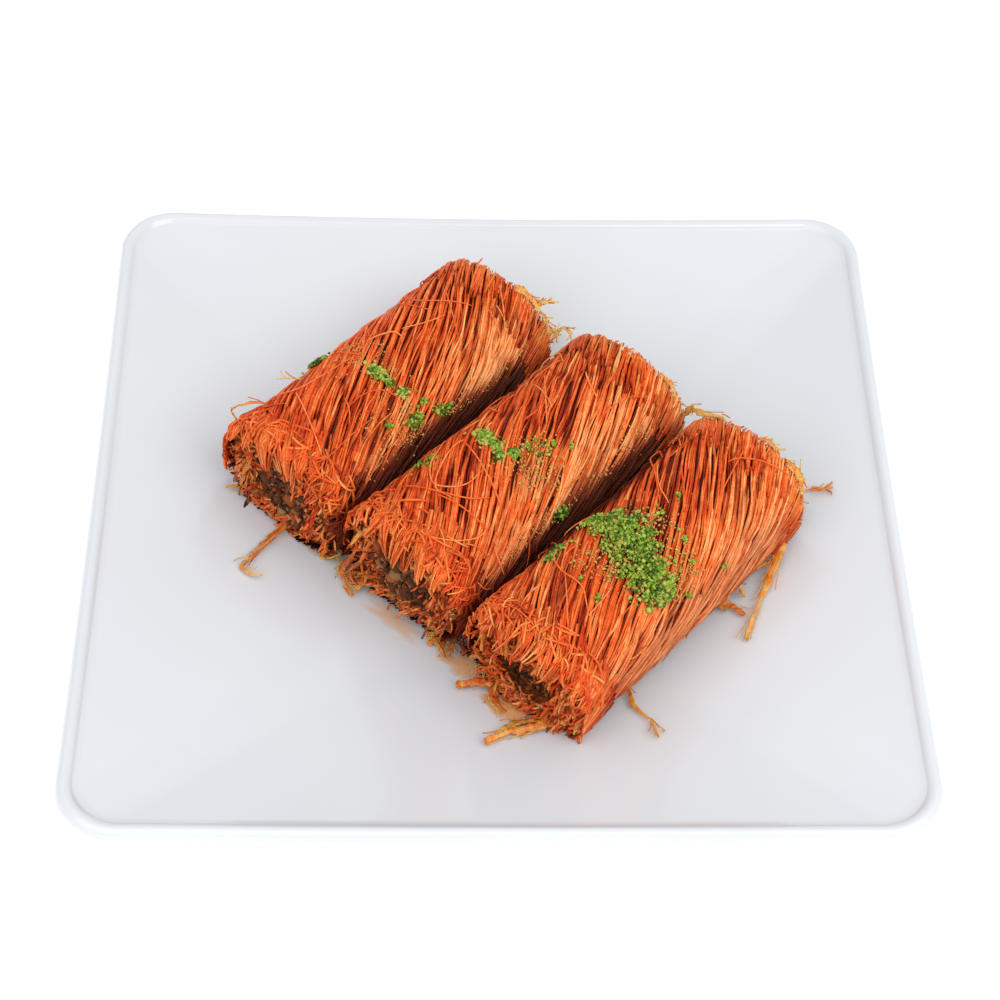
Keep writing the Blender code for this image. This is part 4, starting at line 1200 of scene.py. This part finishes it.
def build_syrup_reflections(material):
    """Thin syrup films on the plate in front of the left ends, as painted reflections of the ends in the
    glaze.
    """
    rng = np.random.default_rng(SEEDS["syrup"])
    angle = 2 * math.pi * np.arange(48) / 48
    share = np.linspace(0.01, 1, 10)[:, None]
    parts = []
    for centre_x, centre_y, long, short, heading, strength in SYRUP_REFLECTIONS:
        edge = 1 + sum(rng.uniform(-0.16, 0.16) * np.sin(n * angle + rng.uniform(0, TURN_OF_PHASE))
                       for n in (2, 3, 4, 5, 7))
        u = long * MM * share * edge * np.cos(angle)
        v = short * MM * share * edge * np.sin(angle)
        turn = math.radians(heading)
        x = centre_x * MM + u * math.cos(turn) - v * math.sin(turn)
        y = centre_y * MM + u * math.sin(turn) + v * math.cos(turn)
        full = 1 - share ** 2
        top = np.stack((x, y, dish_height(x, y) + (SYRUP_EDGE + SYRUP_MIDDLE * full) * MM), -1)
        bottom = np.stack((x, y, dish_height(x, y) + SYRUP_UNDERSIDE * MM), -1)[::-1]
        thick = strength * np.concatenate((full, full[::-1]))
        parts.append(swept(np.concatenate((top, bottom))[None], thick=thick.T))
    show(join("syrup_reflection_film", parts, material), "pastry_threads")


# Crumbs and nuts

def icosphere(level):
    """Vertices and triangles of a ball."""
    mesh = bpy.data.meshes.new("ball")
    work = bmesh.new()
    bmesh.ops.create_icosphere(work, subdivisions=level, radius=1.0)
    work.to_mesh(mesh)
    work.free()
    verts = np.array([v.co[:] for v in mesh.vertices])
    faces = np.array([p.vertices[:] for p in mesh.polygons])
    bpy.data.meshes.remove(mesh)
    return verts, faces


def bits(rng, centres, sizes, level, rough, flat=1.0):
    """Vertices and faces of irregular crumbs: every ball is stretched, turned and dented at random."""
    ball, faces = icosphere(level)
    count = len(centres)
    shape = ball[None] * (1 + rough * rng.uniform(-1, 1, (count, len(ball), 1)))
    shape = shape * rng.uniform(0.55, 1.4, (count, 1, 3)) * np.array((1, 1, flat))
    turn = rng.normal(size=(count, 4))
    w, x, y, z = (turn / np.linalg.norm(turn, axis=1, keepdims=True)).T
    spin = np.stack((1 - 2 * (y * y + z * z), 2 * (x * y - z * w), 2 * (x * z + y * w),
                     2 * (x * y + z * w), 1 - 2 * (x * x + z * z), 2 * (y * z - x * w),
                     2 * (x * z - y * w), 2 * (y * z + x * w), 1 - 2 * (x * x + y * y)), -1).reshape(-1, 3, 3)
    verts = np.einsum("nij,nvj->nvi", spin, shape) * sizes[:, None, None] + centres[:, None]
    all_faces = faces[None] + np.arange(count)[:, None, None] * len(ball)
    return verts.reshape(-1, 3), [all_faces.reshape(-1, 3)]


def toned(shape, tone):
    """A lot of crumbs with one tone each."""
    verts, faces = shape
    return verts, faces, {"tone": np.repeat(tone, len(verts) // len(tone))}


def heap(roll, rng, along, turn, along_spread, turn_spread, count, light):
    """Crumbs that clump together and thin out at the edges, or dust where the tone is light."""
    dust = light > DUST_TONE
    angle = rng.uniform(0, 2 * math.pi, count)
    far = np.sqrt(rng.uniform(0, 1, count)) * rng.uniform(0.75, 1.12, count)
    clump = rng.integers(0, max(5, count // 28), count)
    pull = 0.0 if dust else 0.5
    clump_far = np.sqrt(rng.uniform(0, 1, clump.max() + 1)) * 1.15
    clump_angle = rng.uniform(0, 2 * math.pi, clump.max() + 1)
    east = (1 - pull) * far * np.cos(angle) + pull * (clump_far * np.cos(clump_angle))[clump]
    north = (1 - pull) * far * np.sin(angle) + pull * (clump_far * np.sin(clump_angle))[clump]
    thrown = np.where(rng.uniform(0, 1, count) < 0.2, rng.uniform(1.1, 2.0, count), 1.0)
    east, north = east * thrown, north * thrown
    far = np.hypot(east, north)
    smallest, growth, power = (0.07, 0.22, 2) if dust else (0.15, 0.36, 1.5)
    size = (smallest + growth * rng.uniform(0, 1, count) ** power) * MM
    pile = 0.0 if dust else min(count / 400, 1.0) * 1.9 * MM
    lift = 0.25 * MM + size * 0.3 + pile * np.clip(1 - far, 0, 1) * rng.uniform(0, 1, count)
    around = roll.round(turn + turn_spread * 1.15 * north)
    centres = roll.place((along + along_spread * 1.15 * east) * MM, around, lift)[0]
    shape = bits(rng, centres, size, 1, 0.42)
    if dust:
        tone = rng.normal(light + 0.07, 0.10, count)
    else:
        tone = rng.normal(light, 0.24, count) + 0.35 * (far - 0.6)
    verts, faces, values = toned(shape, np.clip(tone, 0, 1))
    values["tone"] = values["tone"] + 0.12 * rng.uniform(-1, 1, len(verts))
    return verts, faces, values


def build_crumbs(roll, material):
    """Ground pistachio: heaps, dust round them and a few larger crumbs."""
    rng = roll.draws("crumbs")
    parts = [heap(roll, rng, *row) for row in CRUMB_HEAPS[roll.name]]
    lone = np.repeat(np.array(LONE_CRUMBS[roll.name]), CRUMBS_TO_A_LONE_ONE, axis=0)
    size = rng.uniform(0.28, 0.48, len(lone)) * MM
    centres = roll.place(lone[:, 0] * MM, roll.round(lone[:, 1]), 0.5 * size)[0]
    centres = centres + rng.normal(0, 0.33, centres.shape) * MM * np.array((1, 1, 0.6))
    parts.append(toned(bits(rng, centres, size, 1, 0.3), rng.uniform(0.3, 0.62, len(lone))))
    show(join(roll.name + "_crumbs", parts, material, smooth=False), "pistachio_crumbs", roll.name + "_wrap")


def nut_core(roll, start, stop):
    """The filling's body, from one end to the other."""
    count, steps = 48, 16
    turn = np.linspace(-math.pi, math.pi, count, endpoint=False)
    rows = []
    for along in (start, *np.linspace(start + 0.5 * MM, stop - 0.5 * MM, steps), stop):
        share = 0.93 if start < along < stop else 0.8
        rows.append(roll.hole(np.full(count, along), turn, share))
    verts = np.concatenate((*rows, roll.hole(np.array((start, stop)), np.zeros(2), 0.0)))
    ring = np.arange(count)
    last = (len(rows) - 1) * count
    caps = [fan(len(verts) - 2, ring[::-1]), fan(len(verts) - 1, last + ring)]
    return verts, [ring_faces(len(rows), count), *caps], {"tone": np.full(len(verts), 0.25)}


def build_filling(roll, material):
    """The nut core and the crumbly bits that show at its ends."""
    rng = roll.draws("filling")
    start = -roll.filling_out + 0.6 * MM
    stop = roll.length + min(roll.filling_out, 0.0) - 0.6 * MM
    parts = [nut_core(roll, start, stop)]
    for place, way in ((start, -1), (stop, 1)):
        for number, low, high, flat, reach in NUT_BITS:
            turn = rng.uniform(-math.pi, math.pi, number)
            share = np.sqrt(rng.uniform(0, 1, number)) * reach
            along = place + way * rng.uniform(-0.3, 0.75, number) * MM * (1.2 - share)
            size = rng.uniform(low, high, number) * MM
            shape = bits(rng, roll.hole(along, turn, share), size, 2 if low > 0.8 else 1, 0.2, flat)
            tone = rng.choice(NUT_TONES, number, p=NUT_SHARES)
            # Painted shade on one side of the filling at the left end
            if way < 0:
                tone = tone * np.clip(1 - PAINTED_HOLLOW_SHADE[roll.name] * share * np.sin(turn), 0.1, 1.0)
            parts.append(toned(shape, tone))
    turn = math.pi + rng.normal(0, 0.75, SPILLED_BITS)
    centres = roll.hole(rng.uniform(-0.9, 0.2, SPILLED_BITS) * MM, turn, rng.uniform(0.85, 1.5, SPILLED_BITS))
    shape = bits(rng, centres, rng.uniform(0.22, 0.60, SPILLED_BITS) * MM, 1, 0.3)
    parts.append(toned(shape, rng.choice((0.3, 0.5, 0.88, 0.97), SPILLED_BITS, p=(0.2, 0.3, 0.25, 0.25))))
    for verts, _, _ in parts:
        keep_above_dish(verts)
    show(join(roll.name + "_nuts", parts, material), "nut_filling", roll.name + "_filling")


# Camera and light

def add_camera():
    yaw, pitch, roll = (math.radians(v) for v in (CAMERA_YAW, CAMERA_PITCH, CAMERA_ROLL))
    forward = Vector((-math.sin(yaw) * math.cos(pitch), math.cos(yaw) * math.cos(pitch), -math.sin(pitch)))
    right = Vector((math.cos(yaw), math.sin(yaw), 0))
    up = right.cross(forward)
    turned_right = right * math.cos(roll) + up * math.sin(roll)
    turned_up = up * math.cos(roll) - right * math.sin(roll)
    turn = Matrix((turned_right, turned_up, -forward)).transposed()
    camera = bpy.data.objects.new("camera", bpy.data.cameras.new("camera"))
    camera.data.sensor_width = SENSOR
    camera.data.lens = SENSOR * FOCAL_RATIO
    camera.data.clip_start = 0.01
    camera.matrix_world = Matrix.LocRotScale(Vector(CAMERA_PLACE), turn, None)
    bpy.context.scene.collection.objects.link(camera)
    bpy.context.scene.camera = camera


def add_area(name, place, size, power, colour):
    """A square light that looks at the plate."""
    light = bpy.data.lights.new(name, "AREA")
    light.shape = "RECTANGLE"
    light.size, light.size_y = size, size
    light.energy = power
    light.color = colour
    item = bpy.data.objects.new(name, light)
    item.location = place
    item.rotation_euler = (-Vector(place)).to_track_quat("-Z", "Y").to_euler()
    bpy.context.scene.collection.objects.link(item)


def add_floor():
    """A pale floor under the plate."""
    s = Shader("pale_floor", 0.8, Emission_Color=(1, 1, 1, 1), Emission_Strength=0.25)
    s.link(s.ramp(s.noise(6, 2), ((0.3, (0.9, 0.9, 0.9)), (0.7, (0.92, 0.92, 0.92)))), "Base Color")
    mesh = bpy.data.meshes.new("floor")
    corners = [(x * FLOOR_REACH, y * FLOOR_REACH, 0) for x, y in ((-1, -1), (1, -1), (1, 1), (-1, 1))]
    mesh.from_pydata(corners, [], [(0, 1, 2, 3)])
    mesh.materials.append(s.material)
    floor = bpy.data.objects.new("floor", mesh)
    bpy.context.scene.collection.objects.link(floor)


def add_surroundings():
    """Plain bright light from all round, and two large lights."""
    world = bpy.data.worlds.new("world")
    world.use_nodes = True
    background = world.node_tree.nodes["Background"]
    background.inputs["Color"].default_value = SKY_COLOUR
    background.inputs["Strength"].default_value = SKY_STRENGTH
    bpy.context.scene.world = world
    for light in LIGHTS:
        add_area(*light)
    add_floor()
    bpy.context.scene.view_settings.view_transform = "Standard"


def main():
    """The whole scene. The strips and the syrup films of the painted reflections come first, then each roll
    with its own pieces.
    """
    add_camera()
    add_surroundings()
    build_plate(glaze_material())
    threads, core, nuts, crumbs = thread_material(), core_material(), filling_material(), crumb_material()
    rolls = [Roll(number, *sizes) for number, sizes in enumerate(ROLLS, start=1)]
    build_strips(rolls, strip_material())
    build_syrup_reflections(syrup_reflection_material())
    for roll in rolls:
        build_core(roll, core)
        build_threads(roll, threads)
        build_cut_ends(roll, threads)
        build_fringes(roll, threads)
        build_strays(roll, threads)
        build_filling(roll, nuts)
        build_crumbs(roll, crumbs)


main()
